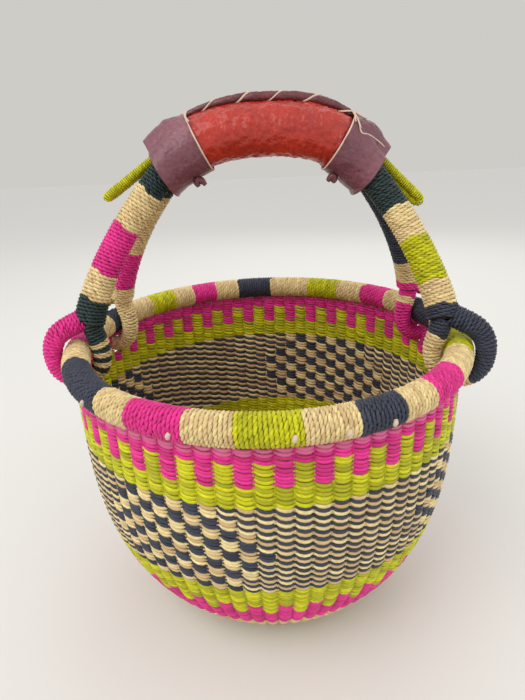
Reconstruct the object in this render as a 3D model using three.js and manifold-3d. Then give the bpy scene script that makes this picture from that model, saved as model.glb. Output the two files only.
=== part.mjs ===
// A bolga basket: an oval basket twined from dyed grass, with a bound rim hoop and a carrying
// handle of two bows that are looped round the rim and held together under a leather grip.
// Millimetres, +Z up. The origin is the middle of the base, on the surface that the basket stands on.
// +X is the right side and -Y is the front.
import * as THREE from "three";
import { mergeVertices } from "three/addons/utils/BufferGeometryUtils.js";
import Module from "manifold-3d";

const wasm = await Module();
wasm.setup();

// Clearances
const seatGap = 0.3; // between pieces that touch
const cutOverrun = 4; // how far a cut runs past what it cuts
const degree = Math.PI / 180; // in radians

// Rim: a hoop of bundled grass under a binding of cord
const rimHalfWidth = 141; // the hoop's centre line, left to right
const rimHalfDepth = 150; // the hoop's centre line, front to back
const rimHeight = 211; // centre line above the base
const rimRadius = 10; // over the binding
const hoopRadius = 5.6; // the grass core
const rimBindingBore = 7.2;

// Woven wall
const wallThickness = 5.2;
const baseHalfWidth = 79.5;
const wallFullness = 3.6; // how soon the wall swells out above the base, a power
const ovalRise = 1.3; // how soon the round base turns into the oval mouth, a power
const lowerBandHeight = 38;
const middleBandHeight = 89.3;
const upperBandHeight = 160.3;

// Handle
const gripHeight = 359; // centre line of the grip at its middle
const gripShift = 5; // the grip's middle stands a little to the right
const gripBack = 5; // and a little to the back
const bowSpacing = 17; // centre to centre, where the two bows lie side by side in the grip
const legRadius = 10.25; // over the binding
const bowCoreRadius = 6.2;
const spreadHeight = 338; // below this height the two bows part

// Eyes, the loops at the feet of the legs, which go round the rim and through the wall under it
const eyeRadius = 6.5; // over the binding
const eyeCoreRadius = 4.2;
const eyeSideGap = 0.6; // between the loop's sides and the rim
const rockGap = 3.2; // free height above and below the rim, which lets the handle rock
const legInset = 12; // the leg stands this far inside the hoop's centre line
const slotMargin = 1.6; // free width beside the loop where it goes through the wall
const slotFloorGap = 2.6; // free height under it
const bindingTuck = 4; // the top bindings run this far up inside the cuffs

// Where the four legs stand on the rim, as angles of its oval in degrees: -90 is the front, 0 the
// right side
const legDegrees = {
  front: { left: -170, right: -20 },
  back: { left: 160, right: 18 },
};

// The bow's arch from its middle to its foot: half width as a share of the foot's, and drop as a
// share of the whole drop
const archShares = [
  [0.21, 0.013],
  [0.37, 0.059],
  [0.498, 0.142],
  [0.59, 0.244],
  [0.683, 0.362],
  [0.775, 0.492],
  [0.863, 0.642],
  [0.936, 0.795],
  [0.98, 0.913],
  [1, 1],
];

// The end of an eye, bending from the rim's outer side back into its leg: out and up, as shares of
// the eye's reach
const outerBendShares = [
  [0.95, 0.45],
  [0.62, 0.98],
  [-0.5, 1.55],
];

// Where an eye's bindings start, meet and end, as shares of its length
const eyeStartShare = 0.02;
const eyeMiddleShare = 0.52;
const eyeEndShare = 0.97;

// Leather grip. Distances along it are measured from its middle.
const sleeveHalfDepth = 20;
const sleeveHalfHeight = 18;
const leatherThickness = 2;
const sleeveHalfLength = 55;
const cuffInnerReach = 50;
const cuffOuterReach = 84;
const cuffEase = 0.5; // how loosely the cuff laps over the sleeve's end
const paddingEase = 0.6; // how loosely the padding fills the leather
const cuffMouthHalfDepth = 25.4;
const cuffMouthHalfHeight = 16;

// Hanging loops, the two ends of the cord bundle that pads the grip
const tailLength = 37;
const tailRadius = 2.5;
const tailGap = 0.9; // between the two runs of one loop
const tailRootReach = 76;
const tailLift = 10.6; // above the bundle's centre line, where the loop leaves the cuff
const tailTucked = 14; // how far the loop's runs go into the padding
const tails = {
  left: { side: -1, drop: 36 * degree, twist: 15 * degree },
  right: { side: 1, drop: 46 * degree, twist: 50 * degree },
};

// Spine strip on top of the grip, and the lace wound round it
const spineRadius = 2.2;
const laceRadius = 0.7;
const laceTurns = 6;

// Numbers of steps and faces
const halvings = 40; // of a search along a curve
const roundSides = 10;
const boreSides = 6;
const coreSides = 6;
const wallSides = 48;
const wallRows = 2;
const degreesPerStep = 7; // of a rim binding
const bowSteps = 24;
const eyeSteps = 13;
const eyeTurnPoints = 6;
const legSteps = 3;
const halfEyeSteps = 8;
const gripSides = 14;
const gripSteps = 8;
const cuffSteps = 4;
const paddingSteps = 12;
const tailSides = 8;
const tailSteps = 14;
const spineSteps = 14;
const laceSides = 6;
const laceStepsPerTurn = 24;

// Colours, read off the object
const colours = {
  natural: "#d8bd86",
  lime: "#a9b52a",
  magenta: "#d42a86",
  navy: "#2b2f3f",
  darkGreen: "#1f3b3a",
  redLeather: "#a8432c",
  brownLeather: "#5e2f30",
  cream: "#e6d8bd",
  grass: "#c2a768",
};
const leatherRoughness = 0.55;
const grassRoughness = 0.8;

const basket = new THREE.Group();
const handle = new THREE.Group();

function materialOf(colour, roughness) {
  return new THREE.MeshStandardMaterial({ color: colours[colour], roughness, metalness: 0 });
}

// Adds one named piece to a group.
function addPiece(group, name, geometry, colour, roughness = grassRoughness) {
  const mesh = new THREE.Mesh(geometry, materialOf(colour, roughness));
  mesh.name = name;
  group.add(mesh);
}

// A closed geometry as a solid that can be cut and joined.
function solidOf(geometry) {
  const bare = new THREE.BufferGeometry();
  const loose = geometry.index ? geometry.toNonIndexed() : geometry;
  bare.setAttribute("position", loose.getAttribute("position"));
  const merged = mergeVertices(bare);
  return new wasm.Manifold(
    new wasm.Mesh({
      numProp: 3,
      vertProperties: merged.attributes.position.array,
      triVerts: new Uint32Array(merged.index.array),
    }),
  );
}

function geometryOf(solid) {
  const mesh = solid.getMesh();
  const geometry = new THREE.BufferGeometry();
  geometry.setAttribute("position", new THREE.BufferAttribute(mesh.vertProperties, 3));
  geometry.setIndex(new THREE.BufferAttribute(mesh.triVerts, 1));
  geometry.computeVertexNormals();
  return geometry;
}

function join(solids) {
  return solids.reduce((whole, next) => whole.add(next));
}

// The corners of a regular polygon.
function polygon(radius, sides) {
  return Array.from({ length: sides }, (_, side) => {
    const angle = (2 * Math.PI * side) / sides;
    return new THREE.Vector2(radius * Math.cos(angle), radius * Math.sin(angle));
  });
}

// A round bar along a curve, or a sleeve where a bore is given.
function tube(curve, radius, steps, bore = 0, sides = roundSides) {
  const section = new THREE.Shape(polygon(radius, sides));
  if (bore) section.holes.push(new THREE.Path(polygon(bore, boreSides)));
  return new THREE.ExtrudeGeometry(section, { steps, extrudePath: curve, bevelEnabled: false });
}

// One stretch of a longer curve, between two shares of its length.
class Stretch extends THREE.Curve {
  constructor(curve, start, end) {
    super();
    this.curve = curve;
    this.start = start;
    this.end = end;
  }
  getPoint(share, target = new THREE.Vector3()) {
    return target.copy(this.curve.getPointAt(this.start + (this.end - this.start) * share));
  }
}

// A stretch of the oval that the hoop follows, between two angles.
class RimArc extends THREE.Curve {
  constructor(start, end) {
    super();
    this.start = start;
    this.end = end;
  }
  getPoint(share, target = new THREE.Vector3()) {
    const angle = this.start + (this.end - this.start) * share;
    return target.set(rimHalfWidth * Math.cos(angle), rimHalfDepth * Math.sin(angle), rimHeight);
  }
}

// Woven body

const ovalGrowth = rimHalfDepth - rimHalfWidth;
const wallTop = rimHeight - rimRadius - seatGap;
const mouthHalfWidth = rimHalfWidth + wallThickness / 2;

// Turns a round lathed shape oval, the more the higher it is.
function ovalise(geometry) {
  const places = geometry.getAttribute("position");
  for (let i = 0; i < places.count; i++) {
    const radius = Math.hypot(places.getX(i), places.getY(i));
    if (!radius) continue;
    const rise = Math.min(1, Math.max(0, places.getZ(i) / wallTop)) ** ovalRise;
    const growth = ovalGrowth * rise * Math.min(1, radius / baseHalfWidth);
    places.setY(i, (places.getY(i) * (radius + growth)) / radius);
  }
  return geometry;
}

// The wall's outer half width at a height, and the point on its inner face that lies square to it.
function wallPoints(height) {
  const left = 1 - height / wallTop;
  const swell = mouthHalfWidth - baseHalfWidth;
  const outer = new THREE.Vector2(mouthHalfWidth - swell * left ** wallFullness, height);
  const slope = (swell * wallFullness * left ** (wallFullness - 1)) / wallTop;
  const inward = new THREE.Vector2(-1, slope).setLength(wallThickness);
  return { outer, inner: outer.clone().add(inward) };
}

// A ring of the wall between two heights.
function wallBand(low, high) {
  const outside = [];
  const inside = [];
  for (let row = 0; row <= wallRows; row++) {
    const { outer, inner } = wallPoints(low + ((high - low) * row) / wallRows);
    outside.push(outer);
    inside.unshift(inner);
  }
  return ovalise(lathe([...outside, ...inside, outside[0]]));
}

function lathe(profile) {
  return new THREE.LatheGeometry(profile, wallSides).rotateX(Math.PI / 2);
}

// The flat floor with the first turn of the wall.
function wovenBase() {
  const high = lowerBandHeight - seatGap / 2;
  const outside = [];
  const inside = [];
  for (let row = 0; row <= wallRows; row++) {
    const { outer, inner } = wallPoints((high * row) / wallRows);
    outside.push(outer);
    inside.unshift(inner);
  }
  const middle = new THREE.Vector2(0, inside[inside.length - 1].y);
  return ovalise(lathe([new THREE.Vector2(0, 0), ...outside, ...inside, middle]));
}

// Rim

// Places on the rim are angles of the oval in degrees: -90 is the front, 0 the right side, 90 the back.
const rimBindings = [
  ["lime", -97.5],
  ["natural", -83.5],
  ["navy", -71.5],
  ["natural", -58.7],
  ["magenta", -48.2],
  ["natural", -34.7],
  ["lime", -20],
  ["natural", -7],
  ["navy", 5],
  ["natural", 21],
  ["magenta", 34],
  ["natural", 45.7],
  ["lime", 56.8],
  ["natural", 69.9],
  ["navy", 86.5],
  ["natural", 100.5],
  ["magenta", 110.5],
  ["natural", 120.5],
  ["lime", 129.5],
  ["natural", 141],
  ["navy", 152],
  ["natural", 164],
  ["magenta", 176],
  ["natural", 188],
  ["navy", 199.6],
  ["natural", 223.5],
  ["magenta", 235.4],
  ["natural", 250.5],
];

function addRim() {
  const hoopSection = polygon(hoopRadius, coreSides).map(
    (corner) => new THREE.Vector2(rimHalfWidth + corner.x, rimHeight + corner.y),
  );
  addPiece(basket, "rim_hoop", ovalise(lathe([...hoopSection, hoopSection[0]])), "grass");
  const halfGap = seatGap / 2 / rimHalfWidth;
  rimBindings.forEach(([colour, start], index) => {
    const next = rimBindings[(index + 1) % rimBindings.length][1];
    const end = next > start ? next : next + 360;
    const arc = new RimArc(start * degree + halfGap, end * degree - halfGap);
    const name = `rim_binding_${String(index + 1).padStart(2, "0")}`;
    const steps = Math.round((end - start) / degreesPerStep);
    addPiece(basket, name, tube(arc, rimRadius, steps, rimBindingBore), colour);
  });
}

// Eyes: where each leg is looped round the rim

const eyeReach = rimRadius + eyeSideGap + eyeRadius;
const eyeCentreHeight = rimHeight - rockGap;
const neckBottom = rimHeight + rimRadius + rockGap;

// The spot on the rim where a leg is looped on: its centre and the outward direction.
function rimSpot(degrees) {
  const angle = degrees * degree;
  const centre = new THREE.Vector3(rimHalfWidth * Math.cos(angle), rimHalfDepth * Math.sin(angle), 0);
  const outward = new THREE.Vector3(Math.cos(angle) / rimHalfWidth, Math.sin(angle) / rimHalfDepth, 0);
  outward.normalize();
  const at = (reach, height) => centre.clone().addScaledVector(outward, reach).setZ(height);
  return { angle, outward, at };
}

// The loop's centre line, from inside the leg, down inside the basket, under the rim and up its outer side.
function eyeCurve(spot) {
  const points = [
    spot.at(-legInset, neckBottom + 2 * eyeRadius),
    spot.at(-(legInset + eyeReach) / 2, neckBottom),
    spot.at(-eyeReach, rimHeight + rockGap),
  ];
  for (let step = 0; step <= eyeTurnPoints; step++) {
    const angle = Math.PI * (1 + step / eyeTurnPoints);
    points.push(spot.at(eyeReach * Math.cos(angle), eyeCentreHeight + eyeReach * Math.sin(angle)));
  }
  for (const [out, up] of outerBendShares) points.push(spot.at(eyeReach * out, rimHeight + eyeReach * up));
  return new THREE.CatmullRomCurve3(points, false, "centripetal");
}

// Legs and bows

const footHeight = neckBottom + legRadius;

class Bow {
  constructor({ left, right }, side) {
    this.left = rimSpot(left);
    this.right = rimSpot(right);
    this.depth = gripBack + (side * bowSpacing) / 2;
    const down = (spot) => {
      const foot = spot.at(-legInset, footHeight);
      return archShares.map(([out, drop]) => {
        const height = gripHeight - (gripHeight - footHeight) * drop;
        const spread = Math.max(0, (spreadHeight - height) / (spreadHeight - footHeight));
        const lean = gripShift * (1 - drop);
        return new THREE.Vector3(foot.x * out + lean, this.depth + (foot.y - this.depth) * spread, height);
      });
    };
    const middle = new THREE.Vector3(gripShift, this.depth, gripHeight);
    const points = [...down(this.left).reverse(), middle, ...down(this.right)];
    this.curve = new THREE.CatmullRomCurve3(points, false, "centripetal");
    this.eyes = { left: eyeCurve(this.left), right: eyeCurve(this.right) };
  }
  // The share of the bow's length at which one of its legs passes a height.
  shareAt(side, height) {
    let [low, high] = side === "left" ? [0, 1 / 2] : [1, 1 / 2];
    for (let step = 0; step < halvings; step++) {
      const middle = (low + high) / 2;
      if (this.curve.getPointAt(middle).z < height) low = middle;
      else high = middle;
    }
    return low;
  }
  // The share of the bow's length at which its grip passes a place from left to right.
  shareAcross(x) {
    let [low, high] = [1 / 4, 3 / 4];
    for (let step = 0; step < halvings; step++) {
      const middle = (low + high) / 2;
      if (this.curve.getPointAt(middle).x < x) low = middle;
      else high = middle;
    }
    return low;
  }
  leg(side, top, bottom) {
    return new Stretch(this.curve, this.shareAt(side, top), this.shareAt(side, bottom));
  }
  core(growth) {
    return join([
      solidOf(tube(this.curve, bowCoreRadius + growth, bowSteps, 0, coreSides)),
      solidOf(tube(this.eyes.left, eyeCoreRadius + growth, eyeSteps, 0, coreSides)),
      solidOf(tube(this.eyes.right, eyeCoreRadius + growth, eyeSteps, 0, coreSides)),
    ]);
  }
}

const bows = {
  front: new Bow(legDegrees.front, -1),
  back: new Bow(legDegrees.back, 1),
};

// The grip's centre line, midway between the two bows where they lie side by side.
const grip = {
  length: bows.front.curve.getLength(),
  middle: bows.front.shareAcross(gripShift),
  // The point at a distance from the grip's middle, with the upward direction square to the line.
  at(distance) {
    const share = this.middle + distance / this.length;
    const point = bows.front.curve.getPointAt(share).setY(gripBack);
    const along = bows.front.curve.getTangentAt(share).setY(0).normalize();
    return { point, up: new THREE.Vector3(-along.z, 0, along.x) };
  },
};
const cuffEndHeight = grip.at(cuffOuterReach).point.z;

// The bindings down each leg from the cuff to the neck: name, colour and the share of the way
// where it ends. The neck binding runs on over one half or both halves of the eye.
const legBindingShares = {
  front_left: [
    ["top", "darkGreen", 0.047],
    ["upper", "natural", 0.271],
    ["middle", "magenta", 0.561],
    ["lower", "natural", 0.738],
    ["neck", "darkGreen", 1, "inner"],
    ["ring", "magenta", null, "outer"],
  ],
  front_right: [
    ["top", "darkGreen", 0.209],
    ["upper", "natural", 0.401],
    ["middle", "lime", 0.669],
    ["lower", "natural", 0.835],
    ["neck", "navy", 1, "outer"],
    ["ring", "natural", null, "inner"],
  ],
  back_left: [
    ["top", "darkGreen", 0.047],
    ["upper", "natural", 0.483],
    ["middle", "magenta", 0.777],
    ["neck", "natural", 1, "both"],
  ],
  back_right: [
    ["upper", "navy", 0.659],
    ["lower", "natural", 0.835],
    ["neck", "magenta", 1, "both"],
  ],
};

function addLeg(bow, side, legName, cutter) {
  const eye = bow.eyes[side];
  const halfGap = seatGap / 2 / eye.getLength();
  const ranges = {
    inner: [eyeStartShare, eyeMiddleShare - halfGap],
    outer: [eyeMiddleShare + halfGap, eyeEndShare],
    both: [eyeStartShare, eyeEndShare],
  };
  const loop = (half, growth) => {
    const steps = half === "both" ? eyeSteps : halfEyeSteps;
    return solidOf(tube(new Stretch(eye, ...ranges[half]), eyeRadius + growth, steps));
  };
  let top = cuffEndHeight + bindingTuck;
  let neck;
  for (const [part, colour, share, half] of legBindingShares[legName]) {
    let solid;
    if (share) {
      const bottom = THREE.MathUtils.lerp(cuffEndHeight, neckBottom, share);
      const leg = bow.leg(side, top - seatGap, bottom);
      const stretch = (growth) => solidOf(tube(leg, legRadius + growth, legSteps));
      solid = half ? stretch(0).add(loop(half, 0)) : stretch(0);
      if (half) neck = stretch(seatGap).add(loop(half, seatGap));
      top = bottom;
    } else {
      solid = loop(half, 0).subtract(neck);
    }
    addPiece(handle, `${legName}_${part}_binding`, geometryOf(solid.subtract(cutter)), colour);
  }
}

function addBows() {
  for (const [name, bow] of Object.entries(bows)) {
    addPiece(handle, `${name}_bow_core`, geometryOf(bow.core(0)), "grass");
    const cutter = join([bow.core(seatGap), ...Object.values(tails).map((tail) => tailSolid(tail, seatGap))]);
    addLeg(bow, "left", `${name}_left`, cutter);
    addLeg(bow, "right", `${name}_right`, cutter);
  }
}

// Openings in the wall under the rim, one for each leg's loop.
function cutSlots(geometry) {
  const floor = eyeCentreHeight - eyeReach - eyeRadius - slotFloorGap;
  const height = rimHeight - floor;
  const width = 2 * (eyeRadius + slotMargin);
  let solid = solidOf(geometry);
  for (const bow of Object.values(bows)) {
    for (const spot of [bow.left, bow.right]) {
      const box = new THREE.BoxGeometry(2 * eyeReach, width, height);
      box.rotateZ(Math.atan2(spot.outward.y, spot.outward.x));
      const place = spot.at(0, floor + height / 2);
      box.translate(place.x, place.y, place.z);
      solid = solid.subtract(solidOf(box));
    }
  }
  return geometryOf(solid);
}

function addWeave() {
  const half = seatGap / 2;
  addPiece(basket, "woven_base", wovenBase(), "natural");
  addPiece(basket, "lower_weave_band", wallBand(lowerBandHeight + half, middleBandHeight - half), "lime");
  addPiece(basket, "middle_weave_band", wallBand(middleBandHeight + half, upperBandHeight - half), "natural");
  addPiece(basket, "upper_weave_band", cutSlots(wallBand(upperBandHeight + half, wallTop)), "magenta");
}

// Leather grip

// A closed body swept along the grip. sizeAt gives its half depth and half height at a distance
// from the middle.
function gripLoft(oneEnd, otherEnd, sizeAt, steps = gripSteps) {
  const start = Math.min(oneEnd, otherEnd);
  const end = Math.max(oneEnd, otherEnd);
  const geometry = new THREE.CylinderGeometry(1, 1, 1, gripSides, steps);
  const places = geometry.getAttribute("position");
  for (let i = 0; i < places.count; i++) {
    const distance = start + (end - start) * (places.getY(i) + 1 / 2);
    const { point, up } = grip.at(distance);
    const [halfDepth, halfHeight] = sizeAt(distance);
    point.y -= places.getX(i) * halfDepth;
    point.addScaledVector(up, places.getZ(i) * halfHeight);
    places.setXYZ(i, point.x, point.y, point.z);
  }
  return solidOf(geometry);
}

const sleeveSize = (growth) => () => [sleeveHalfDepth + growth, sleeveHalfHeight + growth];

// A cuff starts snugly over the sleeve's end and flattens towards its mouth, where the two legs part.
function cuffSize(growth) {
  const lap = leatherThickness + cuffEase;
  return (distance) => {
    const share = Math.max(0, (Math.abs(distance) - cuffInnerReach) / (cuffOuterReach - cuffInnerReach));
    return [
      THREE.MathUtils.lerp(sleeveHalfDepth + lap, cuffMouthHalfDepth, share) + growth,
      THREE.MathUtils.lerp(sleeveHalfHeight + lap, cuffMouthHalfHeight, share ** 2) + growth,
    ];
  };
}

// The padding fills the sleeve and, past its ends, the cuffs.
function paddingSize(distance) {
  const inSleeve = sleeveSize(-leatherThickness - paddingEase)(distance);
  const inCuff = cuffSize(-leatherThickness - paddingEase)(distance);
  return inSleeve.map((size, index) => Math.min(size, inCuff[index]));
}

// One hanging loop: out along its upper run, round a tight turn and back along its lower run.
function tailSolid({ side, drop, twist }, growth) {
  const { point, up } = grip.at(side * tailRootReach);
  const root = point.addScaledVector(up, tailLift);
  const outward = new THREE.Vector3(side * Math.cos(drop), 0, -Math.sin(drop));
  const across = new THREE.Vector3(0, -Math.cos(twist), 0).addScaledVector(up, Math.sin(twist));
  const halfWidth = tailRadius + tailGap / 2;
  const at = (along, aside) => root.clone().addScaledVector(outward, along).addScaledVector(across, aside);
  const reach = tailLength - halfWidth - tailRadius;
  const turn = [1 / 3, 1 / 2, 2 / 3].map((share) => {
    const angle = Math.PI * share;
    return at(reach + halfWidth * Math.sin(angle), halfWidth * Math.cos(angle));
  });
  const places = [-tailTucked, 0, reach / 2, reach];
  const upper = places.map((along) => at(along, halfWidth));
  const lower = places.map((along) => at(along, -halfWidth)).reverse();
  const path = new THREE.CatmullRomCurve3([...upper, ...turn, ...lower], false, "centripetal");
  return solidOf(tube(path, tailRadius + growth, tailSteps, 0, tailSides));
}

// The helix of the lace round the spine strip.
class LaceCurve extends THREE.Curve {
  getPoint(share, target = new THREE.Vector3()) {
    const { point, up } = spineAt(-spineHalfLength + 2 * spineHalfLength * share);
    const angle = 2 * Math.PI * laceTurns * share;
    const radius = spineRadius + seatGap + laceRadius;
    target.copy(point).addScaledVector(up, radius * Math.cos(angle));
    target.y += radius * Math.sin(angle);
    return target;
  }
}

class SpineCurve extends THREE.Curve {
  getPoint(share, target = new THREE.Vector3()) {
    return target.copy(spineAt(-spineHalfLength + 2 * spineHalfLength * share).point);
  }
}

const spineHalfLength = cuffInnerReach - seatGap;
const spineLift = sleeveHalfHeight + 2 * seatGap + 2 * laceRadius + spineRadius;

function spineAt(distance) {
  const frame = grip.at(distance);
  frame.point.addScaledVector(frame.up, spineLift);
  return frame;
}

// The least gap between turns of the lace, measured on its points.
function laceSelfGap(curve) {
  const points = curve.getSpacedPoints(laceTurns * laceStepsPerTurn);
  let least = Infinity;
  for (let i = 0; i < points.length; i++) {
    for (let j = i + laceStepsPerTurn / 2; j < points.length; j++) {
      least = Math.min(least, points[i].distanceTo(points[j]) - 2 * laceRadius);
    }
  }
  return least;
}

function addGrip() {
  const inside = sleeveHalfLength + cutOverrun;
  const sleeveBore = gripLoft(-inside, inside, sleeveSize(-leatherThickness));
  const sleeve = gripLoft(-sleeveHalfLength, sleeveHalfLength, sleeveSize(0)).subtract(sleeveBore);
  addPiece(handle, "grip_sleeve", geometryOf(sleeve), "redLeather", leatherRoughness);

  const paddingHalfLength = cuffOuterReach - bindingTuck - seatGap;
  let padding = gripLoft(-paddingHalfLength, paddingHalfLength, paddingSize, paddingSteps);
  for (const [side, tail] of Object.entries(tails)) {
    padding = padding.add(tailSolid(tail, 0));
    const [from, to] = [tail.side * cuffInnerReach, tail.side * cuffOuterReach];
    const [boreFrom, boreTo] = [from - tail.side * cutOverrun, to + tail.side * cutOverrun];
    const bore = gripLoft(boreFrom, boreTo, cuffSize(-leatherThickness), cuffSteps);
    let cuff = gripLoft(from, to, cuffSize(0), cuffSteps).subtract(bore).subtract(tailSolid(tail, seatGap));
    for (const bow of Object.values(bows)) {
      const leg = bow.leg(side, cuffEndHeight + bindingTuck, cuffEndHeight - 2 * bindingTuck);
      const room = solidOf(tube(leg, legRadius + seatGap, legSteps));
      cuff = cuff.subtract(room);
      padding = padding.subtract(room);
    }
    addPiece(handle, `${side}_cuff`, geometryOf(cuff), "brownLeather", leatherRoughness);
  }
  for (const bow of Object.values(bows)) padding = padding.subtract(bow.core(seatGap));
  addPiece(handle, "hanging_cord_bundle", geometryOf(padding), "lime");

  const spine = new SpineCurve();
  const strip = tube(spine, spineRadius, spineSteps, 0, coreSides);
  addPiece(handle, "spine_strip", strip, "brownLeather", leatherRoughness);
  const lace = new LaceCurve();
  addPiece(handle, "spine_lace", tube(lace, laceRadius, laceTurns * laceStepsPerTurn, 0, laceSides), "cream");
  console.log("least gap between turns of the lace, mm:", laceSelfGap(lace).toFixed(2));
}

basket.name = "basket";
handle.name = "handle";
addRim();
addWeave();
addBows();
addGrip();

const object = new THREE.Group();
object.add(basket, handle);
export default object;
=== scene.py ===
# A bolga basket: an oval basket twined from dyed grass, with a cord-bound rim and a carrying
# handle of two bows under a leather grip. Metres, +Z up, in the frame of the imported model.
import math

import bpy
import numpy as np
from bpy.props import FloatProperty, FloatVectorProperty, IntProperty, PointerProperty
from mathutils import Matrix, Vector, noise as mathutils_noise


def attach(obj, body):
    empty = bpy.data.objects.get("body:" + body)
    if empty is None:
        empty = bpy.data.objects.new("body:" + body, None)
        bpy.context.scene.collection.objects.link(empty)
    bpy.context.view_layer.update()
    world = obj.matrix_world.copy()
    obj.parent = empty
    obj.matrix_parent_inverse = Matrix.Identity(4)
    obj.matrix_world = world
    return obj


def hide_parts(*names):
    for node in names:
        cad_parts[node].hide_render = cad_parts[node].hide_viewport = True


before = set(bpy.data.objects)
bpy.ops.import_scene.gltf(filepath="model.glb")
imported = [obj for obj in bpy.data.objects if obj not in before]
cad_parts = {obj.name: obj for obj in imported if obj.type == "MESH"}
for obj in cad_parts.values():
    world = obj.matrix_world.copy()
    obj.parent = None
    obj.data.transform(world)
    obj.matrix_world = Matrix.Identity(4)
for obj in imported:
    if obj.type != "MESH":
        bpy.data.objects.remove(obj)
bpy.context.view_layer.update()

bl_info = {
    "name": "Bolga Basket",
    "version": (1, 0, 0),
    "blender": (4, 5, 0),
    "location": "3D View > Sidebar > Basket",
    "description": "Twines a bolga basket with a bound rim and a leather-gripped handle",
    "category": "Object",
}

MM = 0.001
FULL_TURN = 2 * math.pi
SIDES = {"left": -1, "right": 1}

# The shapes that the solids set. Each is repeated here from the model's own sizes.
RIM_HALF_WIDTH = 141 * MM
RIM_HALF_DEPTH = 150 * MM
RIM_HEIGHT = 211 * MM
RIM_RADIUS = 10 * MM
WALL_TOP = 200.7 * MM
WALL_THICKNESS = 5.2 * MM
STAKE_TOP = 202.9 * MM  # the stakes end inside the rim's binding
MOUTH_HALF_WIDTH = 143.6 * MM
BASE_HALF_WIDTH = 79.5 * MM
WALL_FULLNESS = 3.6
OVAL_RISE = 1.3
GRIP_HEIGHT = 359 * MM
GRIP_SHIFT = 5 * MM
GRIP_BACK = 5 * MM
BOW_SPACING = 17 * MM
SPREAD_HEIGHT = 338 * MM
LEG_RADIUS = 10.25 * MM
LEG_INSET = 12 * MM
EYE_RADIUS = 6.5 * MM
EYE_REACH = 17.1 * MM
EYE_CENTRE = 207.8 * MM
NECK_BOTTOM = 224.2 * MM
ROCK_GAP = 3.2 * MM
OPENING_HEIGHT = EYE_CENTRE - EYE_REACH
OPENING_RADIUS = 6.3 * MM
OPENING_PLAY = 1.2 * MM
SLEEVE_HALF_DEPTH = 20 * MM
SLEEVE_HALF_HEIGHT = 18 * MM
SLEEVE_HALF_LENGTH = 55 * MM
LEATHER = 2 * MM
CUFF_INNER = 50 * MM
CUFF_OUTER = 84 * MM
CUFF_LAP = 2.5 * MM
CUFF_MOUTH_HALF_DEPTH = 25.4 * MM
CUFF_MOUTH_HALF_HEIGHT = 16 * MM
TAIL_RADIUS = 2.5 * MM
TAIL_SPACING = 5.0 * MM
TAIL_ROOT = 76 * MM
TAIL_LIFT = 10.6 * MM
TAIL_TUCKED = 14 * MM
# Each hanging loop's drop, twist and length
TAILS = {"left": (math.radians(34), math.radians(15), 47 * MM),
         "right": (math.radians(44), math.radians(50), 49 * MM)}
PADDING_EASE = 0.6 * MM
PADDING_HALF_LENGTH = 66 * MM
SPINE_ENDS = (-49.5 * MM, 53 * MM)
SPINE_SEAT = 17.8 * MM
# The rolled spine's thickness: shares of its length, and shares of its full thickness there
ROLL_TAPER = ((0, 0.14, 0.36, 0.8, 1), (0.55, 0.7, 1, 1, 0.72))
ROLL_DIMPLE, ROLL_DIMPLE_SIZE = 0.3 * MM, 3 * MM
LACE_RADIUS = 0.7 * MM
LACE_TURNS = 5
LACE_SEAT = 0.84  # where the lace lies, as a share of the spine's thickness
LACE_PROUD = 0.6  # how much of its own radius it stands out of the groove
# The sizes of the sleeve's broad and small lumps, of its wrinkles and of the cuffs' broad and
# small creases
LUMP_SIZES, WRINKLE_SIZE, CREASE_SIZES = (11 * MM, 3.6 * MM), 2.2 * MM, (9 * MM, 3 * MM)
# How deep the cut edge of the leather sits in it, and how far its fold's edge and the lace's ends
# stand off it
EDGE_SUNK, FOLD_EDGE_PROUD, TIE_PROUD = 0.3 * MM, 0.1 * MM, 1 * MM
# Routes on the leather, as distances along the grip in millimetres and degrees round it
FOLD_EDGE = ((52, 72), (55, 54), (59, 37), (63, 48), (69, 60), (74, 66), (78.5, 70))
TIES = (("right", ((50, 78), (53, 60), (57, 42))), ("right", ((51, 76), (52, 58), (53, 48))),
        ("right", ((50, 80), (54, 84), (58, 78))), ("left", ((-46, 74), (-47, 56), (-46, 40))))
# Half thickness in metres, of the bound legs by height and of the loops by the share of their
# length
LEG_GIRTH = ((0.224, 0.245, 0.27, 0.3), (0.0108, 0.0112, 0.0106, 0.01025))
LOOP_GIRTH = ((0, 0.15, 0.35, 0.58, 0.72, 0.85, 1),
              (0.0078, 0.0074, 0.0067, 0.0065, 0.0073, 0.0081, 0.0084))
BINDING_RUN = 20 * MM  # how far the top bindings run up inside the cuffs

# Small trim: knots under the cuffs, and ends of cord that stick out of the rim's binding as the
# angle of the oval and the angle round the rim from straight out, in degrees
KNOT_REACH = 63 * MM
KNOT_FORWARD = 9 * MM
KNOT_SUNK = 1 * MM
KNOT_TAILS = {"left": ((2.5 * MM, 7 * MM), (-2 * MM, 5 * MM)),
              "right": ((-1 * MM, 6 * MM), (2.5 * MM, 4.5 * MM))}
CORD_ENDS = ((-111.2, -11), (-85.8, -3), (-74.8, -8), (-64.2, -15), (-137.5, -4))
KNOT_RADII = (2.6 * MM, 2.5 * MM, 1.4 * MM)
TIE_RADII = (0.75 * MM, 0.6 * MM, 0.45 * MM)
CORD_END_RADII = (1.3 * MM, 1.5 * MM, 1.2 * MM)
# A cord end's three points: out from its root, down round the rim and along it
CORD_END_ROUTE = ((0, -1.2 * MM, -0.6 * MM), (1.3 * MM, 0, 0), (1.1 * MM, 1.7 * MM, 0.4 * MM))
CORD_END_ROOT = 1.2 * MM  # under the binding's surface

# Where the photograph was taken from: place, then pitch down, yaw and roll in degrees
CAMERA_PLACE = (-3.6 * MM, -394.2 * MM, 349.0 * MM)
CAMERA_TURNS = (20.96, 0.05, -2.35)
CAMERA_LENS = 27.49

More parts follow.
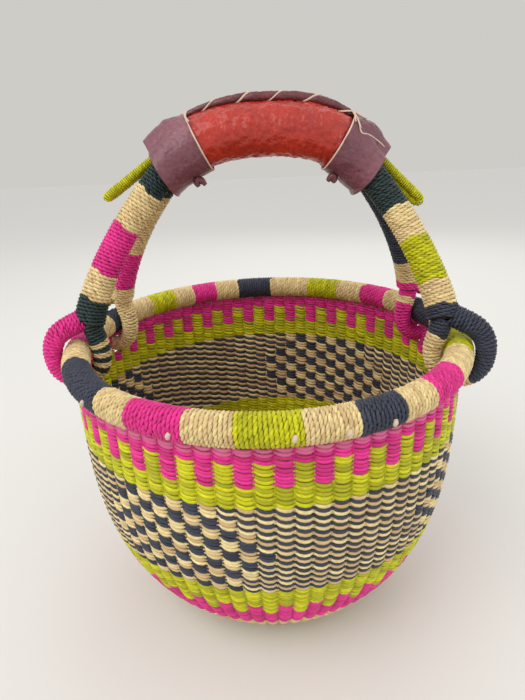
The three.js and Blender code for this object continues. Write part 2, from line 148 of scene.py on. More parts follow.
# Each lamp's place, its width and the property that holds its power. All point at the basket.
LAMPS = {"key lamp": ((-0.9, -0.9, 1.5), 1.2, "key_power"),
         "fill lamp": ((1.2, -0.8, 0.9), 1.4, "fill_power"),
         "back lamp": ((0.3, 1.3, 1.1), 1.2, "fill_power")}
LAMP_AIM = (0, 0, 0.18)
FLOOR_REACH = 6

# The bows' arch, as shares of a foot's reach and of the drop from the grip to it
ARCH_SHARES = (
    (0.21, 0.013), (0.37, 0.059), (0.498, 0.142), (0.59, 0.244), (0.683, 0.362),
    (0.775, 0.492), (0.863, 0.642), (0.936, 0.795), (0.98, 0.913), (1, 1),
)
# A loop's end outside the rim, as shares of its reach out and up from the rim's centre
OUTER_BEND_SHARES = ((0.95, 0.45), (0.62, 0.98), (-0.5, 1.55))
# Where each bow's left and right legs stand, as angles of the oval
LEG_DEGREES = {"front": (-170, -20), "back": (160, 18)}

# Stretches of the rim's binding: colour and the angle of the oval where each starts. Each runs on
# to the next one's start. -90 is the front and 0 the right side.
RIM_STRETCHES = (
    ("lime", -97.5), ("natural", -83.5), ("navy", -71.5), ("natural", -60.2),
    ("magenta", -50.3), ("natural", -37.5), ("lime", -24), ("natural", -7), ("navy", 5),
    ("natural", 21), ("magenta", 34), ("natural", 45.7), ("lime", 56.8), ("natural", 69.9),
    ("navy", 86.5), ("natural", 100.5), ("magenta", 110.5), ("natural", 120.5),
    ("lime", 129.5), ("natural", 141), ("navy", 152), ("natural", 164), ("magenta", 176),
    ("natural", 188), ("navy", 202.5), ("natural", 227), ("magenta", 237.3),
    ("natural", 251.5),
)

# Stretches of each leg's binding, from the cuff down: the part of the leg, its colour and the
# share of the way to the neck where it ends
LEG_STRETCHES = {
    "front_left": (("top", "dark_green", 0.047), ("upper", "natural", 0.271),
                   ("middle", "magenta", 0.561), ("lower", "natural", 0.738),
                   ("neck", "dark_green", 1.0)),
    "front_right": (("top", "dark_green", 0.209), ("upper", "natural", 0.401),
                    ("middle", "lime", 0.669), ("lower", "natural", 0.82),
                    ("neck", "navy", 1.0)),
    "back_left": (("top", "dark_green", 0.047), ("upper", "natural", 0.483),
                  ("middle", "magenta", 0.777), ("neck", "natural", 1.0)),
    "back_right": (("upper", "navy", 0.659), ("lower", "natural", 0.835),
                   ("neck", "magenta", 1.0)),
}
# Stretches of each leg's loop: colour and the share of the loop's length where it ends. The front
# left one starts with ten thin stripes.
THIN_STRIPES = tuple((("dark_green", "natural")[stripe % 2], round(0.145 + 0.03 * stripe, 3))
                     for stripe in range(10))
LOOP_STRETCHES = {
    "front_left": (*THIN_STRIPES, ("dark_green", 0.5), ("magenta", 0.99)),
    "front_right": (("navy", 0.12), ("natural", 0.52), ("navy", 0.99)),
    "back_left": (("natural", 0.97),),
    "back_right": (("magenta", 0.095), ("natural", 0.145), ("magenta", 0.97)),
}
# The front loops' outer halves are solids of their own, in these colours.
RING_COLOURS = {"front_left": "magenta", "front_right": "natural"}
LOOP_START_SHARE = 0.02

# Rows of the wall from the rim down: where the band ends, its number of rows and its pattern.
WALL_BANDS = (
    ("upper", 195.3, 2, "faded"), ("upper", 190.4, 2, "magenta"),
    ("upper", 174.7, 6, "upper_teeth"), ("upper", 160.3, 5, "lime"),
    ("middle", 89.3, 26, "stripes"),
    ("lower", 75.9, 5, "lime"), ("lower", 54.6, 8, "lower_teeth"), ("lower", 38.0, 6, "magenta"),
    ("base", 0.6, 18, "natural"),
)
# The checkered diamonds in the stripes: middle column and half width in columns.
DIAMONDS = ((-5.75, 5.6), (14.9, 5.6), (34.0, 6.2), (57.4, 5.9))
DIAMOND_HEIGHT = 122 * MM
DIAMOND_TAPER = 0.07 / MM
CHECK_ROWS = 3
LOWER_TEETH = range(2, 6)  # the rows of the lower band that have teeth
FADED_ROWS = (0.8, 0.55)  # how much dye the two rows under the rim have lost
LEAST_FADE, FADE_SPREAD = 0.7, 0.5  # how unevenly they have lost it, as shares of that
INNER_WIDTH = 0.97  # inner strands are this much narrower, as the wall's inner face is
LEAST_OPEN_SPAN = 0.9  # in degrees; a shorter rest of a row beside an opening is left out
LEAST_FLOOR_COLUMN = 4.4 * MM  # below this width the floor's ring has half as many stakes
LEAST_FLOOR_STAKES = 10

# The flattened stakes inside the weave, and the disc of crossed stakes in the floor
STAKE_BOTTOM = 1 * MM
STAKE_STEP = 9 * MM  # between the points of a stake
STAKE_HALF_WIDTH = 0.46  # as a share of the column
STAKE_HALF_THICKNESS = 0.55 * MM
DISC_BOTTOM = 1.7 * MM
DISC_THICKNESS = 1 * MM

# Tones of the grass: how bright the stem is, how faded, and how much painted shade darkens it
# The bed under the cord's plies is darkened with painted shade, as it shows only in the gaps
# between them.
SHADED_BED_TONE = (0.3, 0, 0.8)
# The stakes inside the weave are darkened with painted shade, as they show only between the
# strands.
SHADED_STAKE_TONE = (0.4, 0, 0.55)
THICKNESS_SPREAD = 0.1  # how much strands differ in thickness, as a share
UV_STEP = 2 * MM  # of a bar, for one step of its UVs

# A weft strand is a little longer and higher than its place, in columns and rows, so that it
# laps its neighbours, and a ply's ends dive by a share of its radius.
WEFT_HALF_LENGTH, WEFT_HALF_HEIGHT = 0.53, 0.54
PLY_DIVE = 0.75

# How much the plies of a cord differ: in place, as a share of a ply, in lean, as a share of it,
# and in how proud they stand, as a share of their radius
PLY_STRAY, PLY_LEAN_SPREAD, PLY_PROUD = 0.2, 0.25, 0.12
TURN_TONE_SHARE = 0.4  # how much of a ply's tone it has in common with the rest of its turn
BED_STEP = 3 * MM  # between the points of the bed under the plies
BED_SIDES = 16
TAIL_PROUD = 0.8 * MM  # how far the hanging loops' cord stands out of their solids
TAIL_LEAN = math.radians(5)  # of the plies of that finer cord


def linear(hex_text):
    """A colour written as sRGB hex, as linear red, green, blue and alpha."""
    parts = [int(hex_text[i:i + 2], 16) / 255 for i in (1, 3, 5)]
    curve = [c / 12.92 if c <= 0.04045 else ((c + 0.055) / 1.055) ** 2.4 for c in parts]
    return (*curve, 1.0)


# Paths and frames


def catmull_rom(points, per_span=24):
    """A smooth open curve through points, with centripetal spacing."""
    p = np.asarray(points, float)
    p = np.vstack([2 * p[0] - p[1], p, 2 * p[-1] - p[-2]])
    gaps = np.sqrt(np.linalg.norm(np.diff(p, axis=0), axis=1))
    share = np.linspace(0, 1, per_span, endpoint=False)[:, None]
    out = []
    for i in range(1, len(p) - 2):
        d0, d1, d2 = gaps[i - 1], gaps[i], gaps[i + 1]
        a, b, c, d = p[i - 1], p[i], p[i + 1], p[i + 2]
        t1 = ((b - a) / d0 - (c - a) / (d0 + d1) + (c - b) / d1) * d1
        t2 = ((c - b) / d1 - (d - b) / (d1 + d2) + (d - c) / d2) * d1
        out.append(b + t1 * share + (3 * (c - b) - 2 * t1 - t2) * share ** 2
                   + (2 * (b - c) + t1 + t2) * share ** 3)
    return np.vstack([*out, p[-2][None]])


def columns(*values):
    """Numbers and arrays of numbers side by side, as vectors."""
    return np.stack(np.broadcast_arrays(*values), axis=-1)


def unit(vectors):
    return vectors / np.linalg.norm(vectors, axis=-1, keepdims=True)


def turned(angle, first, second):
    """The direction at an angle from the first of two square directions towards the second."""
    angle = angle[..., None]
    return np.cos(angle) * first + np.sin(angle) * second


def run_along(points):
    """The distance along a polyline, at each of its points."""
    return np.concatenate([[0], np.cumsum(np.linalg.norm(np.diff(points, axis=0), axis=1))])


class Path:
    """A polyline with its length and a frame that turns as little as it can."""

    def __init__(self, points, side):
        self.points = np.asarray(points, float)
        self.distance = run_along(self.points)
        self.length = self.distance[-1]
        tangents = unit(np.gradient(self.points, self.distance, axis=0))
        normals = [np.asarray(side, float)]
        for tangent in tangents:
            kept = normals[-1] - tangent * np.dot(normals[-1], tangent)
            normals.append(kept / np.linalg.norm(kept))
        self.tangents = tangents
        self.normals = np.array(normals[1:])

    def sample(self, distances):
        """Points, tangents, normals and binormals at distances along the path."""
        def mix(values):
            return columns(*(np.interp(distances, self.distance, axis) for axis in values.T))
        tangent = unit(mix(self.tangents))
        normal = mix(self.normals)
        normal = unit(normal - tangent * np.sum(normal * tangent, axis=-1, keepdims=True))
        return mix(self.points), tangent, normal, np.cross(tangent, normal)


def rim_path(start, end):
    """The rim's centre line between two angles of the oval, in degrees."""
    angle = np.radians(np.linspace(start, end, max(8, int((end - start) * 2))))
    return Path(columns(RIM_HALF_WIDTH * np.cos(angle), RIM_HALF_DEPTH * np.sin(angle),
                        RIM_HEIGHT), (0, 0, 1))


def rim_spot(degrees):
    """The centre of the rim at an angle, and the outward direction there."""
    angle = math.radians(degrees)
    centre = np.array([RIM_HALF_WIDTH * math.cos(angle), RIM_HALF_DEPTH * math.sin(angle), 0])
    outward = unit(np.array([math.cos(angle) / RIM_HALF_WIDTH,
                             math.sin(angle) / RIM_HALF_DEPTH, 0]))
    return centre, outward


def at_spot(spot, reach, height):
    centre, outward = spot
    return centre + outward * reach + np.array([0, 0, height])


def loop_path(degrees):
    """The loop at a leg's foot: down inside the basket, under the rim and up outside."""
    spot = rim_spot(degrees)
    under = [math.pi * (1 + step / 6) for step in range(7)]
    places = [(-LEG_INSET, NECK_BOTTOM + 2 * EYE_RADIUS),
              (-(LEG_INSET + EYE_REACH) / 2, NECK_BOTTOM), (-EYE_REACH, RIM_HEIGHT + ROCK_GAP),
              *((EYE_REACH * math.cos(angle), EYE_CENTRE + EYE_REACH * math.sin(angle))
                for angle in under),
              *((EYE_REACH * out, RIM_HEIGHT + EYE_REACH * up) for out, up in OUTER_BEND_SHARES)]
    return Path(catmull_rom([at_spot(spot, *place) for place in places]),
                np.cross(spot[1], (0, 0, 1)))


def bow_path(name):
    """One bow's centre line from its left foot over the grip to its right foot."""
    depth = GRIP_BACK + (-1 if name == "front" else 1) * BOW_SPACING / 2
    foot_height = NECK_BOTTOM + LEG_RADIUS

    def down(degrees):
        foot = at_spot(rim_spot(degrees), -LEG_INSET, foot_height)
        places = []
        for out, drop in ARCH_SHARES:
            height = GRIP_HEIGHT - (GRIP_HEIGHT - foot_height) * drop
            spread = max(0, (SPREAD_HEIGHT - height) / (SPREAD_HEIGHT - foot_height))
            places.append((foot[0] * out + GRIP_SHIFT * (1 - drop),
                           depth + (foot[1] - depth) * spread, height))
        return places

    left, right = LEG_DEGREES[name]
    points = [*reversed(down(left)), (GRIP_SHIFT, depth, GRIP_HEIGHT), *down(right)]
    return Path(catmull_rom(points), (0, -1, 0))


BOWS = {name: bow_path(name) for name in LEG_DEGREES}


def distance_at_height(path, side, height):
    """How far along a bow one of its legs passes a height."""
    top = len(path.points) // 2
    if side == "left":
        return float(np.interp(height, path.points[:top, 2], path.distance[:top]))
    return float(np.interp(-height, -path.points[top:, 2], path.distance[top:]))


GRIP_MIDDLE = float(np.interp(GRIP_SHIFT, BOWS["front"].points[:, 0],
                              BOWS["front"].distance))


def grip_at(distances):
    """The grip's centre line at distances from its middle, with the square upward direction."""
    point, tangent, _, _ = BOWS["front"].sample(GRIP_MIDDLE + distances)
    point[..., 1] = GRIP_BACK
    tangent[..., 1] = 0
    tangent = unit(tangent)
    return point, tangent, columns(-tangent[..., 2], 0.0, tangent[..., 0])


CUFF_END_HEIGHT = float(grip_at(CUFF_OUTER)[0][2])


# Meshes


def outward_faces(verts, faces):
    """The faces, turned round if the closed shape is inside out."""
    corners = np.array([verts[[f[0], f[i], f[i + 1]]] for f in faces for i in range(1, len(f) - 1)])
    volume = np.sum(np.cross(corners[:, 0], corners[:, 1]) * corners[:, 2])
    return faces if volume > 0 else [tuple(reversed(f)) for f in faces]


def make_mesh(name, verts, faces, uvs=None, tone=None):
    """A mesh with an optional UV for each vertex and an optional tone for all of it."""
    verts = np.asarray(verts, float)
    mesh = bpy.data.meshes.new(name)
    mesh.from_pydata(verts.tolist(), [], faces)
    if uvs is not None:
        layer = mesh.uv_layers.new(name="strand")
        index = np.empty(len(mesh.loops), dtype=np.int32)
        mesh.loops.foreach_get("vertex_index", index)
        layer.data.foreach_set("uv", np.asarray(uvs, dtype=np.float32)[index].ravel())
    if tone is not None:
        set_vectors(mesh, "tone", np.broadcast_to(np.asarray(tone, float), (len(verts), 3)))
    mesh.shade_smooth()
    return mesh


def set_vectors(mesh, name, values):
    layer = mesh.attributes.new(name, "FLOAT_VECTOR", "POINT")
    layer.data.foreach_set("vector", np.ascontiguousarray(values, dtype=np.float32).ravel())


def make_object(name, mesh, finish=None):
    obj = bpy.data.objects.new(name, mesh)
    bpy.context.scene.collection.objects.link(obj)
    if finish is not None:
        mesh.materials.append(finish)
    return obj


def finish_piece(obj, body, slot, *nodes):
    """Fixes a finished piece to its body and hides the solids that it stands for. The slot is not
    used.
    """
    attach(obj, body)
    if nodes:
        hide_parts(*nodes)


def merge_parts(parts):
    """Several (verts, faces, uvs) parts as one. Either all of them have UVs or none has."""
    verts, faces, uvs, count = [], [], [], 0
    for part_verts, part_faces, part_uvs in parts:
        verts.append(part_verts)
        uvs.append(part_uvs)
        faces.extend(tuple(i + count for i in f) for f in part_faces)
        count += len(part_verts)
    return np.vstack(verts), faces, None if uvs[0] is None else np.vstack(uvs)


def add_piece(name, parts, finish, body, slot, *nodes, tone=None):
    """Makes one piece of several parts, in its finish and fixed to its body."""
    mesh = make_mesh(name, *merge_parts(parts), tone)
    finish_piece(make_object(name, mesh, finish), body, slot, *nodes)


def ring_angles(sides, rows=1):
    """The angles of the points round a bar, for each of its rows."""
    return np.tile(FULL_TURN * np.arange(sides) / sides, (rows, 1))


def grid_uvs(along, around):
    """UVs of rings of points, from their places along the bar and round it."""
    return columns(np.repeat(along, len(around)), np.tile(around, len(along)))


def tube_faces(rows, sides, closed=False):
    """The faces between neighbouring rings of points, and from the last to the first if closed."""
    return [(row * sides + side, row * sides + (side + 1) % sides,
             (row + 1) % rows * sides + (side + 1) % sides, (row + 1) % rows * sides + side)
            for row in range(rows if closed else rows - 1) for side in range(sides)]


def capped_tube(verts, rows, sides):
    """The faces of a bar of rings of points, with both its ends closed."""
    last = (rows - 1) * sides
    ends = [tuple(range(sides))[::-1], tuple(range(last, last + sides))]
    return outward_faces(verts, tube_faces(rows, sides) + ends)


def sweep(points, across, up, wide, high, sides):
    """A closed bar of oval section along points. wide and high are one value for each point."""
    points = np.asarray(points, float)
    rows = len(points)
    wide = np.broadcast_to(wide, rows)[:, None, None]
    high = np.broadcast_to(high, rows)[:, None, None]
    angle = ring_angles(sides)[..., None]
    verts = (points[:, None] + (np.cos(angle) * across[:, None] * wide
                                + np.sin(angle) * up[:, None] * high)).reshape(-1, 3)
    uvs = grid_uvs(run_along(points) / UV_STEP, np.arange(sides) / sides)
    return verts, capped_tube(verts, rows, sides), uvs


def bar_along(path, wide, high, sides):
    """A closed bar of oval section along all of a path."""
    _, _, normal, binormal = path.sample(path.distance)
    return sweep(path.points, normal, binormal, wide, high, sides)


def shell(outer, inner):
    """A closed wall between two grids of points, both closed round their columns."""
    rows, sides = outer.shape[:2]
    count, last = rows * sides, (rows - 1) * sides
    verts = np.vstack([outer.reshape(-1, 3), inner.reshape(-1, 3)])
    faces = tube_faces(rows, sides)
    faces += [tuple(i + count for i in reversed(f)) for f in faces]
    for side in range(sides):
        after = (side + 1) % sides
        faces += [(side, side + count, after + count, after),
                  (last + side, last + after, last + after + count, last + side + count)]
    return verts, outward_faces(verts, faces), None


# Materials


def add_node(tree, kind, inputs=None, **settings):
    """Adds one node with its settings. Each input is a socket to link or a fixed value."""
    node = tree.nodes.new(kind)
    for key, value in settings.items():
        setattr(node, key, value)
    for key, value in (inputs or {}).items():
        if isinstance(value, bpy.types.NodeSocket):
            tree.links.new(value, node.inputs[key])
        else:
            node.inputs[key].default_value = value
    return node


# The sockets of a Mix node that is set to colours
FACTOR, FIRST, SECOND, MIXED = 0, 6, 7, 2


def new_material(name, **sockets):
    finish = bpy.data.materials.new(name)
    finish.use_nodes = True
    for key, value in sockets.items():
        socket = finish.node_tree.nodes["Principled BSDF"].inputs[key.replace("_", " ")]
        socket.default_value = value
    return finish


def scaled(colour, factor):
    """A linear colour made darker or lighter."""
    return tuple(min(1.0, c * factor) for c in tuple(colour)[:3]) + (1.0,)


def paint(finish, layers, height, strength, depth):
    """Gives a finish its colour and its relief. The colours are laid one over another: each layer
    is its mask, the colour where that is 0 and the colour where it is 1, and None stands for the
    layers below."""
    tree = finish.node_tree
    below = None
    for mask, low, high in layers:
        below = add_node(tree, "ShaderNodeMix",
                         {FACTOR: mask, FIRST: below if low is None else low,
                          SECOND: below if high is None else high},
                         data_type="RGBA").outputs[MIXED]
    bump = add_node(tree, "ShaderNodeBump",
                    {"Height": height, "Strength": strength, "Distance": depth})
    shader = tree.nodes["Principled BSDF"]
    tree.links.new(below, shader.inputs["Base Color"])
    tree.links.new(bump.outputs["Normal"], shader.inputs["Normal"])


def dyed_grass(name, colour, faded):
    """Hand-twisted grass, dyed in the bundle: the dye takes unevenly from stem to stem, fine
    fibres run along each strand, and the surface keeps the dry low sheen of straw."""
    finish = new_material(name, Roughness=0.42, Specular_IOR_Level=0.35)
    tree = finish.node_tree
    tone = add_node(tree, "ShaderNodeAttribute", attribute_name="tone").outputs["Vector"]
    parts = add_node(tree, "ShaderNodeSeparateXYZ", {"Vector": tone})
    chance, fade, shade = (parts.outputs[k] for k in "XYZ")
    uv = add_node(tree, "ShaderNodeUVMap", uv_map="strand").outputs["UV"]
    # Fibres are about 0.15 mm wide on the real grass and are drawn twice as wide.
    stretched = add_node(tree, "ShaderNodeMapping",
                         {"Vector": uv, "Scale": (1.3, 9.0, 1.0)}).outputs["Vector"]
    # Each stem reads its own place of the noise, as its chance says.
    along, aside = (add_node(tree, "ShaderNodeMapRange",
                             {"Value": chance, "To Max": reach}).outputs["Result"]
                    for reach in (40.0, 90.0))
    offset = add_node(tree, "ShaderNodeCombineXYZ", {"X": along, "Z": aside}).outputs["Vector"]
    place = add_node(tree, "ShaderNodeVectorMath", {0: stretched, 1: offset},
                     operation="ADD").outputs["Vector"]
    fibre = add_node(tree, "ShaderNodeTexNoise",
                     {"Vector": place, "Scale": 1.0, "Detail": 3.0,
                      "Roughness": 0.6}).outputs["Fac"]
    light = add_node(tree, "ShaderNodeMapRange",
                     {"Value": fibre, "To Min": -0.2, "To Max": 1.6}).outputs["Result"]
    paint(finish, ((chance, scaled(colour, 0.66), scaled(colour, 1.45)),  # dull and bright stems
                   (light, scaled(colour, 0.5), None),  # shade between the fibres
                   (fade, None, scaled(faded, 1)),  # bleached by light
                   (shade, None, scaled(colour, 0.16))),  # painted shade, deep between the strands
          height=fibre, strength=0.45, depth=0.25 * MM)


def pebbled_leather(name, colour, grain, roughness, worn):
    """Vegetable-tanned goat leather, dyed and burnished by handling: a pebbled grain with small
    creases, painted shade between the pebbles, and lighter where it is worn."""
    finish = new_material(name, Roughness=roughness, Specular_IOR_Level=0.4, Coat_Weight=0.1,
                          Coat_Roughness=0.25)
    tree = finish.node_tree
    place = add_node(tree, "ShaderNodeTexCoord").outputs["Object"]
    pebbles = add_node(tree, "ShaderNodeTexVoronoi", {"Vector": place, "Scale": 1 / grain},
                       feature="SMOOTH_F1").outputs["Distance"]
    creases = add_node(tree, "ShaderNodeTexNoise",
                       {"Vector": place, "Scale": 0.22 / grain, "Detail": 6.0,
                        "Roughness": 0.62, "Distortion": 0.8}).outputs["Fac"]
    blotches = add_node(tree, "ShaderNodeTexNoise",
                        {"Vector": place, "Scale": 0.045 / grain, "Detail": 3.0}).outputs["Fac"]
    patch, pebble_shade, ridge = (
        add_node(tree, "ShaderNodeMapRange",
                 {"Value": value, "To Min": low, "To Max": high}).outputs["Result"]
        for value, low, high in ((blotches, -0.6, 1.6), (pebbles, -0.35, 0.75),
                                 (creases, -1.1, 1.1)))
    height = add_node(tree, "ShaderNodeMath", {0: creases, 1: pebbles},
                      operation="SUBTRACT").outputs["Value"]
    paint(finish, ((patch, scaled(colour, 0.68), scaled(colour, 1.28)),  # blotches of dye
                   (pebble_shade, None, scaled(colour, 0.5)),  # painted shade between the pebbles
                   (ridge, None, scaled(colour, worn))),  # ridges that hands have worn
          height, strength=0.9, depth=0.5 * MM)


def dull_fibre(name, colour, roughness, scale, detail, dark, bright, strength, depth):
    """Bare plant fibre, matt, with lighter and darker flecks that also stand a little proud."""
    finish = new_material(name, Roughness=roughness)
    tree = finish.node_tree
    place = add_node(tree, "ShaderNodeTexCoord").outputs["Object"]
    flecks = add_node(tree, "ShaderNodeTexNoise",
                      {"Vector": place, "Scale": scale, "Detail": detail}).outputs["Fac"]
    paint(finish, ((flecks, scaled(colour, dark), scaled(colour, bright)),), flecks, strength,
          depth)


# Each finish: how it is made, its material's name, its colours and its settings
FINISHES = {
    "natural": (dyed_grass, "undyed twisted grass", ("natural", "natural_faded"), {}),
    "lime": (dyed_grass, "lime dyed grass", ("lime", "natural_faded"), {}),
    "magenta": (dyed_grass, "magenta dyed grass", ("magenta", "magenta_faded"), {}),
    "navy": (dyed_grass, "navy dyed grass", ("navy", "natural_faded"), {}),
    "dark_green": (dyed_grass, "dark green dyed grass", ("dark_green", "natural_faded"), {}),
    "red_leather": (pebbled_leather, "red goat leather", ("red_leather",),
                    {"grain": 1.7 * MM, "roughness": 0.34, "worn": 1.25}),
    "brown_leather": (pebbled_leather, "brown goat leather", ("brown_leather",),
                      {"grain": 2.2 * MM, "roughness": 0.4, "worn": 1.3}),
    "spine_leather": (pebbled_leather, "oiled brown goat leather", ("spine_leather",),
                      {"grain": 1.8 * MM, "roughness": 0.32, "worn": 1.4}),
    # Undyed cotton lace and the raw cut edge of the leather: matt and slightly soiled
    "cream": (dull_fibre, "cotton lace and cut edge", ("cream",),
              {"roughness": 0.85, "scale": 0.9 / MM, "detail": 2.0, "dark": 0.72, "bright": 1.1,
               "strength": 0.4, "depth": 0.2 * MM}),
    # The bundled grass cores: dull stems along the bar, seen only between the turns; their colour
    # is darkened with painted shade
    "core": (dull_fibre, "dry grass bundle", ("core",),
             {"roughness": 0.8, "scale": 0.35 / MM, "detail": 4.0, "dark": 0.4, "bright": 0.95,
              "strength": 0.5, "depth": 0.4 * MM}),
}


def material(name):
    """The named finish, made when it is first asked for."""
    make, label, colours, settings = FINISHES[name]
    if label not in bpy.data.materials:
        props = bpy.context.scene.basket_colours
        make(label, *(getattr(props, colour) for colour in colours), **settings)
    return bpy.data.materials[label]


# Strands, which Geometry Nodes lay side by side


def strand_mesh(name, along, centre, half_height, half_depth, lift, sides=5):
    """A short closed strand. X runs along it, Y points out of the surface and Z up."""
    rows = len(along)
    angle = ring_angles(sides)
    verts = np.empty((rows, sides, 3))
    verts[..., 0] = along[:, None]
    verts[..., 1] = centre[:, None] + half_depth[:, None] * np.cos(angle)
    verts[..., 2] = lift[:, None] + half_height[:, None] * np.sin(angle)
    verts = verts.reshape(-1, 3)
    span = (along - along[0]) / (along[-1] - along[0])
    uvs = grid_uvs(span * 3, np.arange(sides) / sides)
    return make_mesh(name, verts, capped_tube(verts, rows, sides), uvs)


def weft_strand(props):
    """The stretch of a weft strand that shows over one stake, one column wide and one row high:
    it bulges over the stake and dives behind its neighbours at both ends."""
    along = np.linspace(-WEFT_HALF_LENGTH, WEFT_HALF_LENGTH, 5)
    outness = np.abs(2 * along)
    depth = props.strand_thickness / 2
    return strand_mesh("weft strand", along, -depth - props.rib_depth * outness ** 2.2,
                       WEFT_HALF_HEIGHT * (1 - 0.2 * outness ** 3),
                       depth * (1 - 0.15 * outness ** 2),
                       props.slant * along + props.sag * (outness ** 2 - 0.5))


def ply_strand(length, radius, bar_radius):
    """The stretch of one ply that shows on a twisted cord between dives under the other ply. It
    bends round the bar that the cord is wound on."""
    share = np.array([-0.5, -0.3, 0.0, 0.3, 0.5])
    girth = np.array([0.35, 0.85, 1.0, 0.85, 0.35]) * radius
    along = share * length
    dive = radius * PLY_DIVE * np.abs(2 * share) ** 2.5
    centre = -radius - along ** 2 / (2 * bar_radius) - dive
    return strand_mesh("cord ply", along, centre, girth, girth, 0 * along, sides=6)


def lay_tree():
    """Lays a copy of the strand on each point, as the point's own turn and size say, and adds the
    bed that they lie on."""
    tree = bpy.data.node_groups.new("Lay strands", "GeometryNodeTree")
    for name, kind in (("Geometry", "Geometry"), ("Strand", "Object"), ("Bed", "Object"),
                       ("Thickness", "Float"), ("Unevenness", "Float"), ("Seed", "Int"),
                       ("Finish", "Material")):
        tree.interface.new_socket(name, in_out="INPUT", socket_type="NodeSocket" + kind)
    tree.interface.new_socket("Geometry", in_out="OUTPUT", socket_type="NodeSocketGeometry")
    given = add_node(tree, "NodeGroupInput").outputs
    strand = add_node(tree, "GeometryNodeObjectInfo", {"Object": given["Strand"]})
    bed = add_node(tree, "GeometryNodeObjectInfo", {"Object": given["Bed"]})
    turn, size = (add_node(tree, "GeometryNodeInputNamedAttribute", {"Name": name},
                           data_type="FLOAT_VECTOR").outputs["Attribute"]
                  for name in ("turn", "size"))
    turned = add_node(tree, "FunctionNodeEulerToRotation", {"Euler": turn})
    least, most = (add_node(tree, "ShaderNodeMath", {0: 1.0, 1: given["Unevenness"]},
                            operation=operation).outputs["Value"]
                   for operation in ("SUBTRACT", "ADD"))
    # The node keeps a pair of limits for each type of number. The floats are 2, 3 and output 1.
    picked = add_node(tree, "FunctionNodeRandomValue", {2: least, 3: most, "Seed": given["Seed"]},
                      data_type="FLOAT").outputs[1]
    thick = add_node(tree, "ShaderNodeCombineXYZ", {"X": 1.0, "Y": given["Thickness"], "Z": picked})
    scale = add_node(tree, "ShaderNodeVectorMath", {0: size, 1: thick.outputs["Vector"]},
                     operation="MULTIPLY").outputs["Vector"]
    laid = add_node(tree, "GeometryNodeInstanceOnPoints",
                    {"Points": given["Geometry"], "Instance": strand.outputs["Geometry"],
                     "Rotation": turned.outputs["Rotation"], "Scale": scale})
    joined = add_node(tree, "GeometryNodeJoinGeometry", {"Geometry": laid.outputs["Instances"]})
    tree.links.new(bed.outputs["Geometry"], joined.inputs["Geometry"])
    smooth = add_node(tree, "GeometryNodeSetShadeSmooth", {"Geometry": joined.outputs["Geometry"]})
    real = add_node(tree, "GeometryNodeRealizeInstances",
                    {"Geometry": smooth.outputs["Geometry"]})
    finish = add_node(tree, "GeometryNodeSetMaterial",
                      {"Geometry": real.outputs["Geometry"], "Material": given["Finish"]})
    add_node(tree, "NodeGroupOutput", {"Geometry": finish.outputs["Geometry"]})
    return tree


def euler_turns(x_axis, y_axis, z_axis):
    """The XYZ turns that bring the axes of a strand onto these directions."""
    return columns(np.arctan2(y_axis[..., 2], z_axis[..., 2]),
                   -np.arcsin(np.clip(x_axis[..., 2], -1, 1)),
                   np.arctan2(x_axis[..., 1], x_axis[..., 0]))


class Strands:
    """Places for strands, gathered for one piece."""

    def __init__(self):
        self.rows = []
        self.beds = []

    def add(self, places, x_axis, y_axis, sizes, tones):
        z_axis = np.cross(x_axis, y_axis)
        self.rows.append((places, euler_turns(x_axis, y_axis, z_axis), sizes, tones))

    def lay(self, name, strand, finish, seed):
        """Runs the tree and keeps its result as a plain mesh."""
        tree = bpy.data.node_groups.get("Lay strands") or lay_tree()
        places, turns, sizes, tones = (np.vstack(column) for column in zip(*self.rows))
        points = bpy.data.meshes.new(name + " places")
        points.from_pydata(places.tolist(), [], [])
        for key, values in (("turn", turns), ("size", sizes), ("tone", tones)):
            set_vectors(points, key, values)
        # The bed gets painted shade from its tone.
        bed = (make_mesh(name + " bed", *merge_parts(self.beds), SHADED_BED_TONE) if self.beds
               else bpy.data.meshes.new(name + " bed"))
        made = [make_object(name + " places", points), make_object(name + " strand", strand),
                make_object(name + " bed", bed)]
        modifier = made[0].modifiers.new("Lay strands", "NODES")
        modifier.node_group = tree
        given = {"Strand": made[1], "Bed": made[2], "Thickness": 1.0,
                 "Unevenness": THICKNESS_SPREAD, "Seed": seed, "Finish": finish}
        for item in tree.interface.items_tree:
            if item.in_out == "INPUT" and item.name in given:
                modifier[item.identifier] = given[item.name]
        graph = bpy.context.evaluated_depsgraph_get()
        mesh = bpy.data.meshes.new_from_object(made[0].evaluated_get(graph),
                                               preserve_all_data_layers=True, depsgraph=graph)
        made[0].modifiers.remove(modifier)
        for obj in made:
            bpy.data.objects.remove(obj)
        for key in ("turn", "size"):
            if key in mesh.attributes:
                mesh.attributes.remove(mesh.attributes[key])
        mesh.name = name
        return make_object(name, mesh)


# The woven body


def wall_point(height, angle):
    """A point of the wall's outer face."""
    left = np.maximum(0, 1 - height / WALL_TOP)
    radius = MOUTH_HALF_WIDTH - (MOUTH_HALF_WIDTH - BASE_HALF_WIDTH) * left ** WALL_FULLNESS
    rise = np.clip(height / WALL_TOP, 0, 1) ** OVAL_RISE
    growth = (RIM_HALF_DEPTH - RIM_HALF_WIDTH) * rise * np.minimum(1, radius / BASE_HALF_WIDTH)
    return columns(radius * np.cos(angle), (radius + growth) * np.sin(angle), height)


def wall_frame(height, angle):
    """A point of the outer face with the directions up along the wall and out of it."""
    rise, turn = 0.2 * MM, 0.002
    up = unit(wall_point(height + rise, angle) - wall_point(height - rise, angle))
    around = unit(wall_point(height, angle + turn) - wall_point(height, angle - turn))
    return wall_point(height, angle), up, unit(np.cross(around, up))


